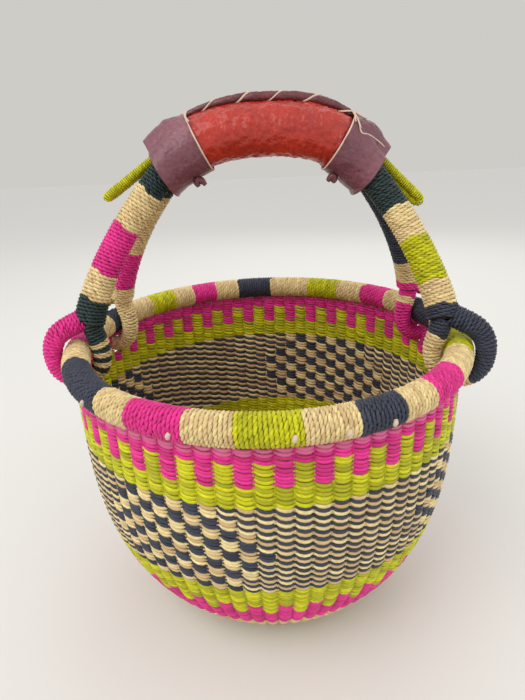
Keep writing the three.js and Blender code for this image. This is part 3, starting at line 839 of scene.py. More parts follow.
def wall_rows():
    """Each row's band, pattern, place in its band, middle height and height along the wall."""
    heights = np.linspace(0, WALL_TOP, 600)
    profile = wall_point(heights, np.zeros_like(heights))
    run = run_along(profile)
    rows = []
    top = WALL_TOP
    for band, end, count, pattern in WALL_BANDS:
        ends = np.interp([top, end * MM], heights, run)
        marks = np.linspace(ends[0], ends[1], count + 1)
        for index in range(count):
            middle = (marks[index] + marks[index + 1]) / 2
            rows.append((band, pattern, index, float(np.interp(middle, run, heights)),
                         marks[index] - marks[index + 1]))
        top = end * MM
    return rows


def strand_colours(pattern, index, height, column, stakes):
    """The colour of the outer strand over a stake, and of the inner strand behind it."""
    if pattern == "upper_teeth" or pattern == "lower_teeth" and index in LOWER_TEETH:
        return ("magenta", "lime") if column % 2 == 0 else ("lime", "magenta")
    if pattern == "lower_teeth":
        pattern = "lime" if index < LOWER_TEETH.start else "magenta"
    if pattern == "stripes":
        dark = (index + column) % 2 == 1
        for middle, half in DIAMONDS:
            away = abs((column + 0.5 - middle + stakes / 2) % stakes - stakes / 2)
            if away < half - DIAMOND_TAPER * abs(height - DIAMOND_HEIGHT):
                dark = (index // CHECK_ROWS + column) % 2 == 1
        return ("navy", "natural") if dark else ("natural", "navy")
    colour = "magenta" if pattern == "faded" else pattern
    return colour, colour


def open_spans(start, end, height):
    """The parts of a column that the four openings for the handle's loops leave, in degrees. Each
    opening is round, and a little taller than the loop so that this can rock."""
    spans = [(start, end)]
    away = max(0, abs(height - OPENING_HEIGHT) - OPENING_PLAY)
    if away >= OPENING_RADIUS:
        return spans
    half_opening = math.degrees(math.sqrt(OPENING_RADIUS ** 2 - away ** 2) / RIM_HALF_WIDTH)
    for degrees in (*LEG_DEGREES["front"], *LEG_DEGREES["back"]):
        middle = degrees + 360 * round((start - degrees) / 360)
        low, high = middle - half_opening, middle + half_opening
        spans = [part for a, b in spans for part in ((a, min(b, low)), (max(a, high), b))
                 if part[1] - part[0] > LEAST_OPEN_SPAN]
    return spans


def gather_wall(props, rng):
    """The strands of the wall and the floor, by band and colour."""
    cells = {}
    step = 360 / props.stakes
    for band, pattern, index, height, row_height in wall_rows():
        for column in range(props.stakes):
            outer, inner = strand_colours(pattern, index, height, column, props.stakes)
            start = -90 + step * column
            fade = FADED_ROWS[index] if pattern == "faded" else 0.0
            for a, b in open_spans(start, start + step, height):
                cells.setdefault((band, outer, 1), []).append((height, a, b, row_height, fade))
                cells.setdefault((band, inner, -1), []).append((height, a, b, row_height, 0.0))
    pieces = {}
    for (band, colour, side), rows in cells.items():
        height, a, b, row_height, fade = np.array(rows).T
        a, b = np.radians(a), np.radians(b)
        width = np.linalg.norm(wall_point(height, b) - wall_point(height, a), axis=-1)
        place, up, out = wall_frame(height, (a + b) / 2)
        if side < 0:
            place = place - out * WALL_THICKNESS
            width = width * INNER_WIDTH
        tones = columns(rng.random(len(a)),
                        fade * (LEAST_FADE + FADE_SPREAD * rng.random(len(a))), 0.0)
        jitter = (rng.random(len(a)) - 0.5)[:, None] * props.unevenness * up
        pieces.setdefault((band, colour), Strands()).add(
            place + jitter, np.cross(side * out, up), side * out,
            columns(width, 1.0, row_height), tones)
    pieces[("floor", "natural")] = gather_floor(props, rng)
    return pieces


def gather_floor(props, rng):
    """Rings of strands under and over the flat floor, with fewer stakes towards its middle."""
    strands = Strands()
    pitch = props.floor_pitch
    for ring in range(int(BASE_HALF_WIDTH / pitch) - 1):
        radius = BASE_HALF_WIDTH - (ring + 0.5) * pitch
        count = props.stakes
        while FULL_TURN * radius / count < LEAST_FLOOR_COLUMN and count > LEAST_FLOOR_STAKES:
            count //= 2
        angle = FULL_TURN * (np.arange(count) + 0.5 * (ring % 2)) / count
        radial = columns(np.cos(angle), np.sin(angle), 0.0)
        sizes = np.tile((2 * radius * math.tan(math.pi / count), 1.0, pitch), (count, 1))
        for out_z, height in ((-1.0, 0.0), (1.0, props.floor_thickness)):
            out = np.tile((0.0, 0.0, out_z), (count, 1))
            strands.add(radial * radius + (0, 0, height), np.cross(out, radial), out, sizes,
                        columns(rng.random(count), 0.0, 0.0))
    return strands


def wall_stakes(props):
    """The upright stakes inside the weave, flattened so that they close it, and a disc of crossed
    stakes in the floor."""
    parts = []
    step = 360 / props.stakes
    reach = OPENING_RADIUS + OPENING_PLAY
    for column in range(props.stakes):
        whole = (-90 + step * column, -90 + step * (column + 1))
        spans = open_spans(*whole, OPENING_HEIGHT)
        if spans == [whole]:
            stretches = [(whole, STAKE_BOTTOM, STAKE_TOP)]
        else:
            stretches = [(whole, STAKE_BOTTOM, OPENING_HEIGHT - reach),
                         (whole, OPENING_HEIGHT + reach, STAKE_TOP)]
            stretches += [(span, OPENING_HEIGHT - reach, OPENING_HEIGHT + reach)
                          for span in spans]
        for (low, high), bottom, top in stretches:
            heights = np.linspace(bottom, top, max(3, int((top - bottom) / STAKE_STEP)))
            place, up, out = wall_frame(
                heights, np.full_like(heights, math.radians((low + high) / 2)))
            place = place - out * WALL_THICKNESS / 2
            wide = (STAKE_HALF_WIDTH * math.radians(high - low)
                    * np.linalg.norm(place[:, :2], axis=1))
            parts.append(sweep(place, np.cross(out, up), out, wide, STAKE_HALF_THICKNESS, 6))
    angle = np.radians(np.arange(0, 360, 5))
    disc = columns(BASE_HALF_WIDTH * np.cos(angle), BASE_HALF_WIDTH * np.sin(angle), DISC_BOTTOM)
    verts = np.vstack([disc, disc + (0, 0, DISC_THICKNESS)])
    return [*parts, (verts, capped_tube(verts, 2, len(angle)), verts[:, :2] / UV_STEP)]


# Wound cord


class Cord:
    """A kind of cord: the sizes that its windings need."""

    def __init__(self, props, fine=1.0, lean=None):
        self.pitch = props.cord_pitch * fine
        self.spacing = props.ply_spacing * fine
        self.radius = props.ply_radius * fine
        self.length = props.ply_length * fine
        self.lean = props.ply_lean if lean is None else lean
        self.bed_depth = props.bed_depth * fine

    def ply(self, bar_radius):
        return ply_strand(self.length, self.radius, bar_radius)


def wind_cord(strands, path, start, end, radius_at, cord, rng):
    """Winds twisted cord round a path between two distances, as plies on a bed darkened with
    painted shade. The plies of neighbouring turns are staggered, as a turn holds half a ply more
    than a whole number."""
    turns = max(1, round((end - start) / cord.pitch))
    rise = (end - start) / turns
    middle_radius = float(radius_at(np.array([(start + end) / 2]))[0])
    per_turn = int(FULL_TURN * middle_radius / cord.spacing) + 0.5
    k = np.arange(int(turns * per_turn))
    share = (k + rng.uniform(-PLY_STRAY, PLY_STRAY, len(k))) / per_turn
    distance = np.clip(start + (share + 0.5 * rise / cord.pitch / per_turn) * rise, start, end)
    angle = FULL_TURN * share
    point, tangent, normal, binormal = path.sample(distance)
    radial = turned(angle, normal, binormal)
    lean = -cord.lean * rng.uniform(1 - PLY_LEAN_SPREAD, 1 + PLY_LEAN_SPREAD, len(k))
    along = turned(lean, turned(angle, binormal, -normal), tangent)
    proud = rng.uniform(-PLY_PROUD, PLY_PROUD, len(k))[:, None] * cord.radius
    turn_tone = rng.random(turns + 1)[np.minimum(k // math.ceil(per_turn), turns)]
    chance = (1 - TURN_TONE_SHARE) * rng.random(len(k)) + TURN_TONE_SHARE * turn_tone
    sizes = np.tile((1.0, 1.0, rise / cord.pitch), (len(k), 1))
    strands.add(point + radial * (radius_at(distance)[:, None] + proud), along, radial, sizes,
                columns(chance, 0.0, 0.0))
    # The bed under the plies, which its tone darkens with painted shade.
    spots = np.linspace(start, end, max(4, round((end - start) / BED_STEP)))
    point, _, normal, binormal = path.sample(spots)
    bed = radius_at(spots) - cord.bed_depth
    strands.beds.append(sweep(point, normal, binormal, bed, bed, BED_SIDES))


def stub(points, radii, side):
    """A short tapering bar through a few points."""
    path = Path(catmull_rom(points, 5), side)
    share = path.distance / path.length
    radius = np.interp(share, np.linspace(0, 1, len(radii)), radii)
    return bar_along(path, radius, radius, 8)


def lay_cords(prefix, pieces, nodes, cord, bar_radius, body, seed):
    """Lays the windings gathered for each colour, as one piece for each."""
    for number, (colour, strands) in enumerate(sorted(pieces.items())):
        obj = strands.lay(prefix + colour, cord.ply(bar_radius), material(colour), seed + number)
        finish_piece(obj, body, colour + "_cord", *nodes[colour])


# Leather


def noise(places, scale, seed):
    """Smooth noise from -1 to 1 at each place."""
    shift = Vector((13.7 * seed, 5.1 * seed, 9.3 * seed))
    flat = places.reshape(-1, 3) / scale
    values = np.array([mathutils_noise.noise(Vector(p) + shift) for p in flat])
    return values.reshape(places.shape[:-1])


def grip_ring(distances, half_depth, half_height, angles, proud=0.0):
    """Points round the grip. Distances, sizes and angles may be one value or a grid of them."""
    distances, angles = np.broadcast_arrays(distances, angles)
    point, _, up = grip_at(distances)
    depth = (half_depth + proud) * np.cos(angles)
    height = (half_height + proud) * np.sin(angles)
    return point + up * height[..., None] + np.array([0, -1, 0]) * depth[..., None]


def leather_sleeve(props):
    """The sleeve round both bows. The padding's turns show through it as soft lumps."""
    rows, sides = 150, 96
    ends = SLEEVE_HALF_LENGTH + props.sleeve_tuck
    distances = np.tile(np.linspace(-ends, ends, rows)[:, None], sides)
    angles = ring_angles(sides, rows)
    base = grip_ring(distances, SLEEVE_HALF_DEPTH, SLEEVE_HALF_HEIGHT, angles)
    soft = 0.5 * noise(base, LUMP_SIZES[0], 1) + 0.9 * noise(base, LUMP_SIZES[1], 2)
    # Fine wrinkles slant across the right half, where the leather was pulled tight.
    slanted = base @ np.array([[0.8, 0, 0.6], [0, 0.3, 0], [-0.15, 0, 0.2]])
    pull = np.clip(distances / SLEEVE_HALF_LENGTH + 0.3, 0, 1)
    lumps = props.lump_height * (soft + 0.8 * pull * noise(slanted, WRINKLE_SIZE, 3))
    return shell(
        grip_ring(distances, SLEEVE_HALF_DEPTH, SLEEVE_HALF_HEIGHT, angles, lumps),
        grip_ring(distances, SLEEVE_HALF_DEPTH - LEATHER, SLEEVE_HALF_HEIGHT - LEATHER, angles))


def cuff_size(distance):
    """A cuff's half depth and half height: snug over the sleeve, flattened where the legs part."""
    share = np.clip((np.abs(distance) - CUFF_INNER) / (CUFF_OUTER - CUFF_INNER), 0, 1)
    depth = SLEEVE_HALF_DEPTH + CUFF_LAP
    height = SLEEVE_HALF_HEIGHT + CUFF_LAP
    return (depth + (CUFF_MOUTH_HALF_DEPTH - depth) * share,
            height + (CUFF_MOUTH_HALF_HEIGHT - height) * share ** 2)


# Each cuff's inner edge and mouth, below and on top, as distances along the grip
CUFF_ENDS = {"left": ((-45.5 * MM, -47.5 * MM), (-86 * MM, -73 * MM)),
             "right": ((52 * MM, 52 * MM), (88 * MM, 78 * MM))}
# Where the seam runs round the grip from the front, its width, and the groove's width and
# distance from it, in radians
FOLD_ANGLE = math.radians(86)
FOLD_WIDTH, GROOVE_WIDTH, GROOVE_AWAY = 0.30, 0.13, 0.56
MOUTH_FLARE = 1.2 * MM


def cuff_ends(side, angles):
    """Where a cuff starts and where its mouth is, for each angle round the grip."""
    up = (1 + np.sin(angles)) / 2
    return tuple(low + (high - low) * up for low, high in CUFF_ENDS[side])


def cuff_fold(share, angles, props):
    """How far the rolled seam on top of a cuff stands proud, and the groove in front of it."""
    ramp = np.clip(2.4 * share, 0.15, 1)
    ridge = np.exp(-((angles - FOLD_ANGLE) / FOLD_WIDTH) ** 2)
    groove = np.exp(-((angles - FOLD_ANGLE + GROOVE_AWAY) / GROOVE_WIDTH) ** 2)
    return props.fold_height * ramp * (ridge - 0.2 * groove)


def on_cuff(side, reach, degrees, proud, props):
    """A point on a cuff, at a distance along the grip and an angle round it."""
    angle = math.radians(degrees)
    start, end = cuff_ends(side, angle)
    fold = cuff_fold((reach - start) / (end - start), angle, props)
    return grip_ring(reach, *cuff_size(reach), angle, fold + proud)


def leather_cuff(side, props):
    """A cuff of brown leather round the sleeve's end, creased where it narrows."""
    rows, sides = 60, 110
    angles = ring_angles(sides, rows)
    share = np.linspace(0, 1, rows)[:, None]
    start, end = cuff_ends(side, angles)
    distances = start + (end - start) * share
    depth, height = cuff_size(distances)
    base = grip_ring(distances, depth, height, angles)
    creases = (noise(base * (1, 0.35, 1), CREASE_SIZES[0], 5 + SIDES[side])
               + 0.35 * noise(base, CREASE_SIZES[1], 8 + SIDES[side]))
    # The creases fade out towards both ends, so that the rims stay even.
    fade = np.sin(math.pi * np.clip(0.08 + share, 0, 1)) ** 0.5
    # The mouth flares a little, as stiff leather does where nothing holds it.
    flare = MOUTH_FLARE * np.clip(share * 4 - 3, 0, 1)
    proud = props.crease_height * creases * fade + cuff_fold(share, angles, props) + flare
    outer = grip_ring(distances, depth, height, angles, proud)
    thick = LEATHER * np.clip(share * 6, 0.4, 0.8)
    return shell(outer, grip_ring(distances, depth, height, angles, 0.9 * proud - thick))


def closed_bar(points, radius, sides=8):
    """A bar along a ring of points that meets itself."""
    count = len(points)
    tangent = unit(np.roll(points, -1, axis=0) - np.roll(points, 1, axis=0))
    out = points - points.mean(axis=0)
    out = unit(out - tangent * np.sum(out * tangent, axis=1, keepdims=True))
    aside = np.cross(tangent, out)
    verts = (points[:, None] + radius * turned(ring_angles(sides), out[:, None],
                                               aside[:, None])).reshape(-1, 3)
    faces = outward_faces(verts, tube_faces(count, sides, closed=True))
    return verts, faces, grid_uvs(np.arange(count), np.arange(sides))


def cut_edges(props):
    """The raw pale edges of the leather: along each cuff's inner end, and where the right cuff's
    end is folded over in a V."""
    parts = []
    for side in CUFF_ENDS:
        angles = ring_angles(120)[0]
        edge = cuff_ends(side, angles)[0]
        ring = grip_ring(edge, *cuff_size(edge), angles, cuff_fold(0, angles, props) - EDGE_SUNK)
        parts.append(closed_bar(ring, props.edge_radius))
    places = [on_cuff("right", reach * MM, degrees, FOLD_EDGE_PROUD, props)
              for reach, degrees in FOLD_EDGE]
    thin = props.edge_radius * 0.8
    return [*parts, bar_along(Path(catmull_rom(places, 8), (0, -1, 0)), thin, thin, 8)]


def spine_at(share, props):
    """The spine's centre line, the upward direction and its half thickness, at shares of it."""
    low, high = SPINE_ENDS
    point, _, up = grip_at(low + (high - low) * share)
    radius = props.roll_radius * np.interp(share, *ROLL_TAPER)
    return point + up * (SPINE_SEAT + radius)[..., None], up, radius


def spine_roll(props):
    """The flap of leather rolled into a cord along the top. The lace pulls a groove into it."""
    rows, sides = 300, 20
    share = np.tile(np.linspace(0, 1, rows)[:, None], sides)
    angles = ring_angles(sides, rows)
    base, up, radius = spine_at(share, props)
    apart = (angles - FULL_TURN * LACE_TURNS * share + math.pi) % FULL_TURN - math.pi
    radius = radius * (1.04 - 0.2 * np.exp(-(apart / 0.5) ** 2))
    radius = radius * np.clip(0.55 + 12 * np.minimum(share, 1 - share), 0, 1)
    radius = radius + ROLL_DIMPLE * noise(base + angles[..., None] * 2 * MM, ROLL_DIMPLE_SIZE, 4)
    verts = (base + radius[..., None] * turned(angles, up, (0, 1, 0))).reshape(-1, 3)
    return verts, capped_tube(verts, rows, sides), grid_uvs(np.arange(rows), np.arange(sides))


def lace_path(props):
    """The lace's helix round the spine, in the groove that it makes."""
    share = np.linspace(0, 1, LACE_TURNS * 30)
    point, up, radius = spine_at(share, props)
    angle = FULL_TURN * LACE_TURNS * share
    reach = radius[:, None] * LACE_SEAT + LACE_RADIUS * LACE_PROUD
    return point + reach * turned(angle, up, (0, 1, 0))


def lace_tails(props):
    """The ends of the lace, knotted where the spine meets the cuffs."""
    return [stub([on_cuff(side, reach * MM, degrees, TIE_PROUD, props)
                  for reach, degrees in route], TIE_RADII, (0, -1, 0)) for side, route in TIES]


def leather_knots():
    """Two small knots under the cuffs, each with two short tails."""
    parts = []
    for side, tails in KNOT_TAILS.items():
        reach = SIDES[side] * KNOT_REACH
        point, tangent, up = grip_at(reach)
        foot = point - up * (cuff_size(reach)[1] - KNOT_SUNK) + (0, -KNOT_FORWARD, 0)
        for lean, length in tails:
            tip = foot - up * length + tangent * lean + (0, -0.2 * length, 0)
            middle = (foot + tip) / 2 + tangent * lean * 0.3
            parts.append(stub([foot, middle, tip], KNOT_RADII, (0, 1, 0)))
    return parts


def cord_ends():
    """Short pale ends of cord that stick out of the rim's binding."""
    parts = []
    for degrees, round_rim in CORD_ENDS:
        spot = rim_spot(degrees)
        outward, angle = spot[1], math.radians(round_rim)
        out = outward * math.cos(angle) + (0, 0, math.sin(angle))
        down = outward * math.sin(angle) - (0, 0, math.cos(angle))
        along = np.cross(outward, (0, 0, 1))
        root = at_spot(spot, 0, RIM_HEIGHT) + out * (RIM_RADIUS - CORD_END_ROOT)
        parts.append(stub([root + out * a + down * b + along * c for a, b, c in CORD_END_ROUTE],
                          CORD_END_RADII, along))
    return parts


def hairpin_path(side):
    """A hanging loop's centre line: out along one run, round a tight turn and back."""
    drop, twist, length = TAILS[side]
    point, _, up = grip_at(SIDES[side] * TAIL_ROOT)
    root = point + up * TAIL_LIFT
    outward = np.array([SIDES[side] * math.cos(drop), 0, -math.sin(drop)])
    across = np.array([0, -math.cos(twist), 0]) + up * math.sin(twist)
    half = TAIL_SPACING / 2
    reach = length - half - TAIL_RADIUS
    runs = [(along, half) for along in (-TAIL_TUCKED, 0, reach / 2, reach)]
    turn = [(reach + half * math.sin(math.pi * s), half * math.cos(math.pi * s))
            for s in (1 / 3, 1 / 2, 2 / 3)]
    back = [(along, -aside) for along, aside in reversed(runs)]
    points = [root + outward * along + across * aside for along, aside in runs + turn + back]
    return Path(catmull_rom(points), np.cross(outward, across))


def grip_padding():
    """The bundle that pads the grip, seen only in the mouths of the cuffs."""
    rows, sides = 40, 32
    distances = np.linspace(-PADDING_HALF_LENGTH, PADDING_HALF_LENGTH, rows)
    depth, height = cuff_size(distances)
    depth = np.minimum(depth, SLEEVE_HALF_DEPTH) - LEATHER - PADDING_EASE
    height = np.minimum(height, SLEEVE_HALF_HEIGHT) - LEATHER - PADDING_EASE
    point, _, up = grip_at(distances)
    return sweep(point, np.tile((0.0, -1.0, 0.0), (rows, 1)), up, depth, height, sides)


# The sizes and colours that a user would change


def colour_property(name, description, hex_text):
    return FloatVectorProperty(name=name, description=description, subtype="COLOR", size=4,
                               min=0, max=1, default=linear(hex_text))


def size_property(name, description, value, top=0.1):
    return FloatProperty(name=name, description=description, default=value, min=0, max=top,
                         unit="LENGTH", subtype="DISTANCE", precision=5)


class BasketColours(bpy.types.PropertyGroup):
    """Colours of the grass, the leather and the lace."""
    natural: colour_property("Natural", "Undyed grass", "#f2ca91")
    natural_faded: colour_property("Bleached", "Undyed grass, bleached by light", "#dcc6a0")
    lime: colour_property("Lime", "Grass dyed lime", "#c4c208")
    magenta: colour_property("Magenta", "Grass dyed magenta", "#ec2d8a")
    magenta_faded: colour_property("Faded magenta", "Magenta where the dye took badly", "#d27c98")
    navy: colour_property("Navy", "Grass dyed navy", "#363a49")
    dark_green: colour_property("Dark green", "Grass dyed dark green", "#243634")
    red_leather: colour_property("Sleeve", "Leather of the grip's sleeve", "#b02e20")
    brown_leather: colour_property("Cuffs", "Leather of the cuffs", "#784650")
    spine_leather: colour_property("Spine", "Leather of the rolled spine", "#6c3539")
    cream: colour_property("Lace", "Lace and cut edges of the leather", "#d8c0aa")
    # The core's colour is darkened with painted shade, as it shows only in the gaps between turns.
    core: colour_property("Core", "Bundled grass inside the rim and the bows", "#5f503a")


class BasketWeave(bpy.types.PropertyGroup):
    """Sizes of the twined wall and floor."""
    stakes: IntProperty(name="Stakes", description="Upright stakes round the wall",
                        default=80, min=16, max=200)
    strand_thickness: size_property("Strand", "Thickness of a weft strand", 1.9 * MM)
    rib_depth: size_property("Rib depth", "How far strands dive between stakes", 1.75 * MM)
    slant: FloatProperty(name="Slant", description="Slant of the strands, in rows per column",
                         default=0.66, min=-2, max=2)
    sag: FloatProperty(name="Sag", description="Sag of a strand over its stake, in rows",
                       default=0.32, min=0, max=1)
    unevenness: size_property("Unevenness", "How far a strand strays from its row", 0.8 * MM)
    floor_pitch: size_property("Floor pitch", "Distance between the floor's rings", 2.8 * MM)
    floor_thickness: size_property("Floor thickness", "Thickness of the woven floor", 4.4 * MM)
    seed: IntProperty(name="Seed", description="Start of the random draws", default=7, min=0)


class BasketCord(bpy.types.PropertyGroup):
    """Sizes of the twisted cord that binds the rim and the handle."""
    cord_pitch: size_property("Cord pitch", "Distance between turns of the cord", 2.45 * MM)
    ply_spacing: size_property("Ply spacing", "Distance between plies along the cord", 3.8 * MM)
    ply_radius: size_property("Ply radius", "Half the thickness of one ply", 1.03 * MM)
    ply_length: size_property("Ply length", "Length of ply that shows at a time", 6.2 * MM)
    ply_lean: FloatProperty(name="Ply lean", description="Angle of the plies to the cord",
                            default=math.radians(17), subtype="ANGLE", unit="ROTATION")
    bed_depth: size_property("Bed depth", "How deep the gaps between plies go", 1.5 * MM)
    loop_fineness: FloatProperty(name="Loop cord", default=0.62, min=0.2, max=1,
                                 description="Size of the hanging loops' cord to the others")
    seed: IntProperty(name="Seed", description="Start of the random draws", default=11, min=0)


class BasketLeather(bpy.types.PropertyGroup):
    """Sizes of the sleeve, the cuffs and their trim."""
    sleeve_tuck: size_property("Sleeve tuck", "How far the sleeve runs on under each cuff", 5 * MM)
    lump_height: size_property("Lumps", "Height of the lumps in the sleeve", 0.9 * MM)
    crease_height: size_property("Creases", "Height of the creases in the cuffs", 1.0 * MM)
    fold_height: size_property("Fold", "Height of the rolled seam on the cuffs", 4.5 * MM)
    roll_radius: size_property("Roll", "Half the thickness of the rolled spine", 3.1 * MM)
    edge_radius: size_property("Cut edge", "Half the thickness of the pale cut edge", 0.6 * MM)


class BasketStage(bpy.types.PropertyGroup):
    """The floor and the light."""
    floor: colour_property("Floor", "Colour of the floor", "#dddbd6")
    key_power: FloatProperty(name="Key light", description="Power of the large lamp at the left",
                             default=15.0, min=0, unit="POWER")
    fill_power: FloatProperty(name="Fill light", description="Power of the lamp at the right",
                              default=4.5, min=0, unit="POWER")
    sky: FloatProperty(name="Sky", description="Strength of the even light from all round",
                       default=0.85, min=0)


# Operators, one for each group of pieces


class BASKET_OT_weave(bpy.types.Operator):
    """Twines the wall and the floor from short strands, one piece for each band and colour"""
    bl_idname = "basket.weave"
    bl_label = "Weave wall and floor"

    def execute(self, context):
        props = context.scene.basket_weave
        pieces = gather_wall(props, np.random.default_rng(props.seed))
        for number, ((band, colour), strands) in enumerate(sorted(pieces.items())):
            name = {"base": "twined_base", "floor": "twined_floor"}.get(
                band, f"{band}_band_{colour}")
            node = "woven_base" if band in ("base", "floor") else f"{band}_weave_band"
            obj = strands.lay(name, weft_strand(props), material(colour), props.seed + number)
            finish_piece(obj, "basket", colour + "_cord", node)
        # The stakes get painted shade from their tone.
        add_piece("warp_stakes", wall_stakes(props), material("natural"), "basket",
                  "natural_cord", tone=SHADED_STAKE_TONE)
        return {"FINISHED"}


class BASKET_OT_bind_rim(bpy.types.Operator):
    """Winds cord round the rim, stretch by stretch in its colours"""
    bl_idname = "basket.bind_rim"
    bl_label = "Bind rim"

    def execute(self, context):
        props = context.scene.basket_cord
        rng = np.random.default_rng(props.seed)
        cord, pieces, nodes = Cord(props), {}, {}
        ends = [start for _, start in RIM_STRETCHES[1:]] + [RIM_STRETCHES[0][1] + 360]
        for number, ((colour, start), end) in enumerate(zip(RIM_STRETCHES, ends), 1):
            path = rim_path(start, end)
            wind_cord(pieces.setdefault(colour, Strands()), path, 0, path.length,
                      lambda d: np.full_like(d, RIM_RADIUS), cord, rng)
            nodes.setdefault(colour, []).append(f"rim_binding_{number:02d}")
        lay_cords("rim_cord_", pieces, nodes, cord, RIM_RADIUS, "basket", props.seed)
        return {"FINISHED"}


class BASKET_OT_bind_legs(bpy.types.Operator):
    """Winds cord down the four legs and round their loops under the rim"""
    bl_idname = "basket.bind_legs"
    bl_label = "Bind legs and loops"

    def execute(self, context):
        props = context.scene.basket_cord
        rng = np.random.default_rng(props.seed + 1)
        cord, pieces, nodes = Cord(props), {}, {}
        for leg, stretches in LEG_STRETCHES.items():
            bow, side = leg.split("_")
            path = BOWS[bow]
            loop = loop_path(LEG_DEGREES[bow][side == "right"])

            def leg_radius(distances, path=path):
                return np.interp(path.sample(distances)[0][..., 2], *LEG_GIRTH)

            def loop_radius(distances, loop=loop):
                return np.interp(distances / loop.length, *LOOP_GIRTH)

            top = CUFF_END_HEIGHT + BINDING_RUN
            for part, colour, share in stretches:
                bottom = CUFF_END_HEIGHT + (NECK_BOTTOM - CUFF_END_HEIGHT) * share
                ends = sorted(distance_at_height(path, side, z) for z in (top, bottom))
                wind_cord(pieces.setdefault(colour, Strands()), path, *ends, leg_radius, cord,
                          rng)
                nodes.setdefault(colour, []).append(f"{leg}_{part}_binding")
                top = bottom
            if leg in RING_COLOURS:
                nodes[RING_COLOURS[leg]].append(f"{leg}_ring_binding")
            start = LOOP_START_SHARE
            for colour, share in LOOP_STRETCHES[leg]:
                wind_cord(pieces.setdefault(colour, Strands()), loop, start * loop.length,
                          share * loop.length, loop_radius, cord, rng)
                start = share
        lay_cords("leg_cord_", pieces, nodes, cord, LEG_RADIUS, "handle", props.seed + 10)
        return {"FINISHED"}


class BASKET_OT_hang_loops(bpy.types.Operator):
    """Adds the grip's padding and its two wound ends, which hang out of the cuffs as loops"""
    bl_idname = "basket.hang_loops"
    bl_label = "Hang cord loops"

    def execute(self, context):
        props = context.scene.basket_cord
        rng = np.random.default_rng(props.seed + 2)
        cord = Cord(props, props.loop_fineness, TAIL_LEAN)
        strands = Strands()
        for side in TAILS:
            path = hairpin_path(side)
            wind_cord(strands, path, 0, path.length,
                      lambda d: np.full_like(d, TAIL_RADIUS + TAIL_PROUD), cord, rng)
        # The padding is laid as a bed, so its tone darkens it with painted shade.
        strands.beds.append(grip_padding())
        obj = strands.lay("hanging_cord_loops", cord.ply(TAIL_RADIUS), material("lime"),
                          props.seed + 20)
        finish_piece(obj, "handle", "lime_cord", "hanging_cord_bundle")
        return {"FINISHED"}


class BASKET_OT_wrap_grip(bpy.types.Operator):
    """Wraps the grip in its leather sleeve and two cuffs with their cut edges"""
    bl_idname = "basket.wrap_grip"
    bl_label = "Wrap grip in leather"

    def execute(self, context):
        props = context.scene.basket_leather
        add_piece("grip_sleeve_leather", [leather_sleeve(props)], material("red_leather"),
                  "handle", "red_leather", "grip_sleeve")
        for side in CUFF_ENDS:
            add_piece(side + "_cuff_leather", [leather_cuff(side, props)],
                      material("brown_leather"), "handle", "brown_leather", side + "_cuff")
        add_piece("cuff_cut_edges", cut_edges(props), material("cream"), "handle",
                  "cream_thread")
        return {"FINISHED"}


class BASKET_OT_lace_spine(bpy.types.Operator):
    """Lays the rolled spine strip on the grip and winds its lace"""
    bl_idname = "basket.lace_spine"
    bl_label = "Lace spine strip"

    def execute(self, context):
        props = context.scene.basket_leather
        add_piece("spine_roll", [spine_roll(props)], material("spine_leather"), "handle",
                  "brown_leather", "spine_strip")
        lace = bar_along(Path(lace_path(props), (0, 1, 0)), LACE_RADIUS, LACE_RADIUS * 0.8, 10)
        add_piece("spine_lacing", [lace, *lace_tails(props)], material("cream"), "handle",
                  "cream_thread", "spine_lace")
        return {"FINISHED"}


class BASKET_OT_trim(bpy.types.Operator):
    """Adds the leather knots and the pale cord ends, and finishes the grass cores"""
    bl_idname = "basket.trim"
    bl_label = "Add knots and ends"

    def execute(self, context):
        add_piece("leather_knots", leather_knots(), material("spine_leather"), "handle",
                  "brown_leather")
        add_piece("rim_cord_ends", cord_ends(), material("cream"), "basket", "cream_thread")
        for node in ("rim_hoop", "front_bow_core", "back_bow_core"):
            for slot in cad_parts[node].material_slots:
                slot.material = material("core")
        return {"FINISHED"}


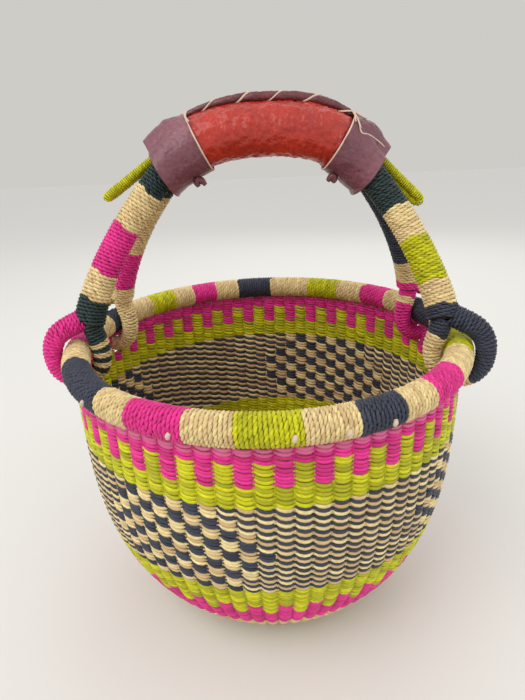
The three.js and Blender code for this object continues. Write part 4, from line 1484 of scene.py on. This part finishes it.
class BASKET_OT_stage(bpy.types.Operator):
    """Sets the floor, the lamps and the camera at the photograph's angle"""
    bl_idname = "basket.stage"
    bl_label = "Set stage"

    def execute(self, context):
        props = context.scene.basket_stage
        scene = context.scene
        scene.view_settings.view_transform = "Standard"
        corners = [(x * FLOOR_REACH, y * FLOOR_REACH, 0)
                   for x, y in ((-1, -1), (1, -1), (1, 1), (-1, 1))]
        finish = new_material("matt painted floor", Roughness=0.9, Base_Color=props.floor)
        make_object("floor", make_mesh("floor", corners, [(0, 1, 2, 3)]), finish)
        world = bpy.data.worlds.new("even sky")
        world.use_nodes = True
        back = world.node_tree.nodes["Background"]
        back.inputs["Strength"].default_value = props.sky
        # The camera sees the far floor's own tone there, so that no horizon shows.
        seen = add_node(world.node_tree, "ShaderNodeLightPath").outputs["Is Camera Ray"]
        tint = add_node(world.node_tree, "ShaderNodeMix",
                        {FACTOR: seen, FIRST: (1, 1, 1, 1), SECOND: tuple(props.floor)},
                        data_type="RGBA").outputs[MIXED]
        world.node_tree.links.new(tint, back.inputs["Color"])
        scene.world = world
        for name, (place, size, power) in LAMPS.items():
            lamp = bpy.data.lights.new(name, "AREA")
            lamp.energy = getattr(props, power)
            lamp.size = size
            obj = bpy.data.objects.new(name, lamp)
            obj.location = place
            aim = Vector(LAMP_AIM) - Vector(place)
            obj.rotation_euler = aim.to_track_quat("-Z", "Y").to_euler()
            scene.collection.objects.link(obj)
        camera = bpy.data.objects.new("camera", bpy.data.cameras.new("camera"))
        camera.data.lens = CAMERA_LENS
        pitch, yaw, roll = (math.radians(a) for a in CAMERA_TURNS)
        forward = Vector((math.sin(yaw) * math.cos(pitch), math.cos(yaw) * math.cos(pitch),
                          -math.sin(pitch)))
        right = forward.cross(Vector((0, 0, 1))).normalized()
        up = right.cross(forward)
        right, up = (right * math.cos(roll) + up * math.sin(roll),
                     up * math.cos(roll) - right * math.sin(roll))
        turn = Matrix((right, up, -forward)).transposed().to_4x4()
        camera.matrix_world = Matrix.Translation(CAMERA_PLACE) @ turn
        scene.collection.objects.link(camera)
        scene.camera = camera
        return {"FINISHED"}


class BASKET_PT_sidebar(bpy.types.Panel):
    """The basket's sizes and colours, with a button for each group of pieces"""
    bl_idname = "BASKET_PT_sidebar"
    bl_label = "Bolga Basket"
    bl_space_type = "VIEW_3D"
    bl_region_type = "UI"
    bl_category = "Basket"

    def draw(self, context):
        for key, group in GROUPS.items():
            box = self.layout.box()
            for name in group.__annotations__:
                box.prop(getattr(context.scene, key), name)
        for operator in OPERATORS:
            self.layout.operator(operator.bl_idname)


GROUPS = {"basket_colours": BasketColours, "basket_weave": BasketWeave,
          "basket_cord": BasketCord, "basket_leather": BasketLeather,
          "basket_stage": BasketStage}
OPERATORS = (BASKET_OT_stage, BASKET_OT_weave, BASKET_OT_bind_rim, BASKET_OT_bind_legs,
             BASKET_OT_hang_loops, BASKET_OT_wrap_grip, BASKET_OT_lace_spine, BASKET_OT_trim)


def register():
    for cls in (*GROUPS.values(), *OPERATORS, BASKET_PT_sidebar):
        bpy.utils.register_class(cls)
    for key, group in GROUPS.items():
        setattr(bpy.types.Scene, key, PointerProperty(type=group))


def unregister():
    for key in GROUPS:
        delattr(bpy.types.Scene, key)
    for cls in (BASKET_PT_sidebar, *reversed(OPERATORS), *reversed(GROUPS.values())):
        bpy.utils.unregister_class(cls)


def main():
    register()
    for operator in OPERATORS:
        group, name = operator.bl_idname.split(".")
        getattr(getattr(bpy.ops, group), name)()
    bpy.context.view_layer.update()


if __name__ == "__main__":
    main()
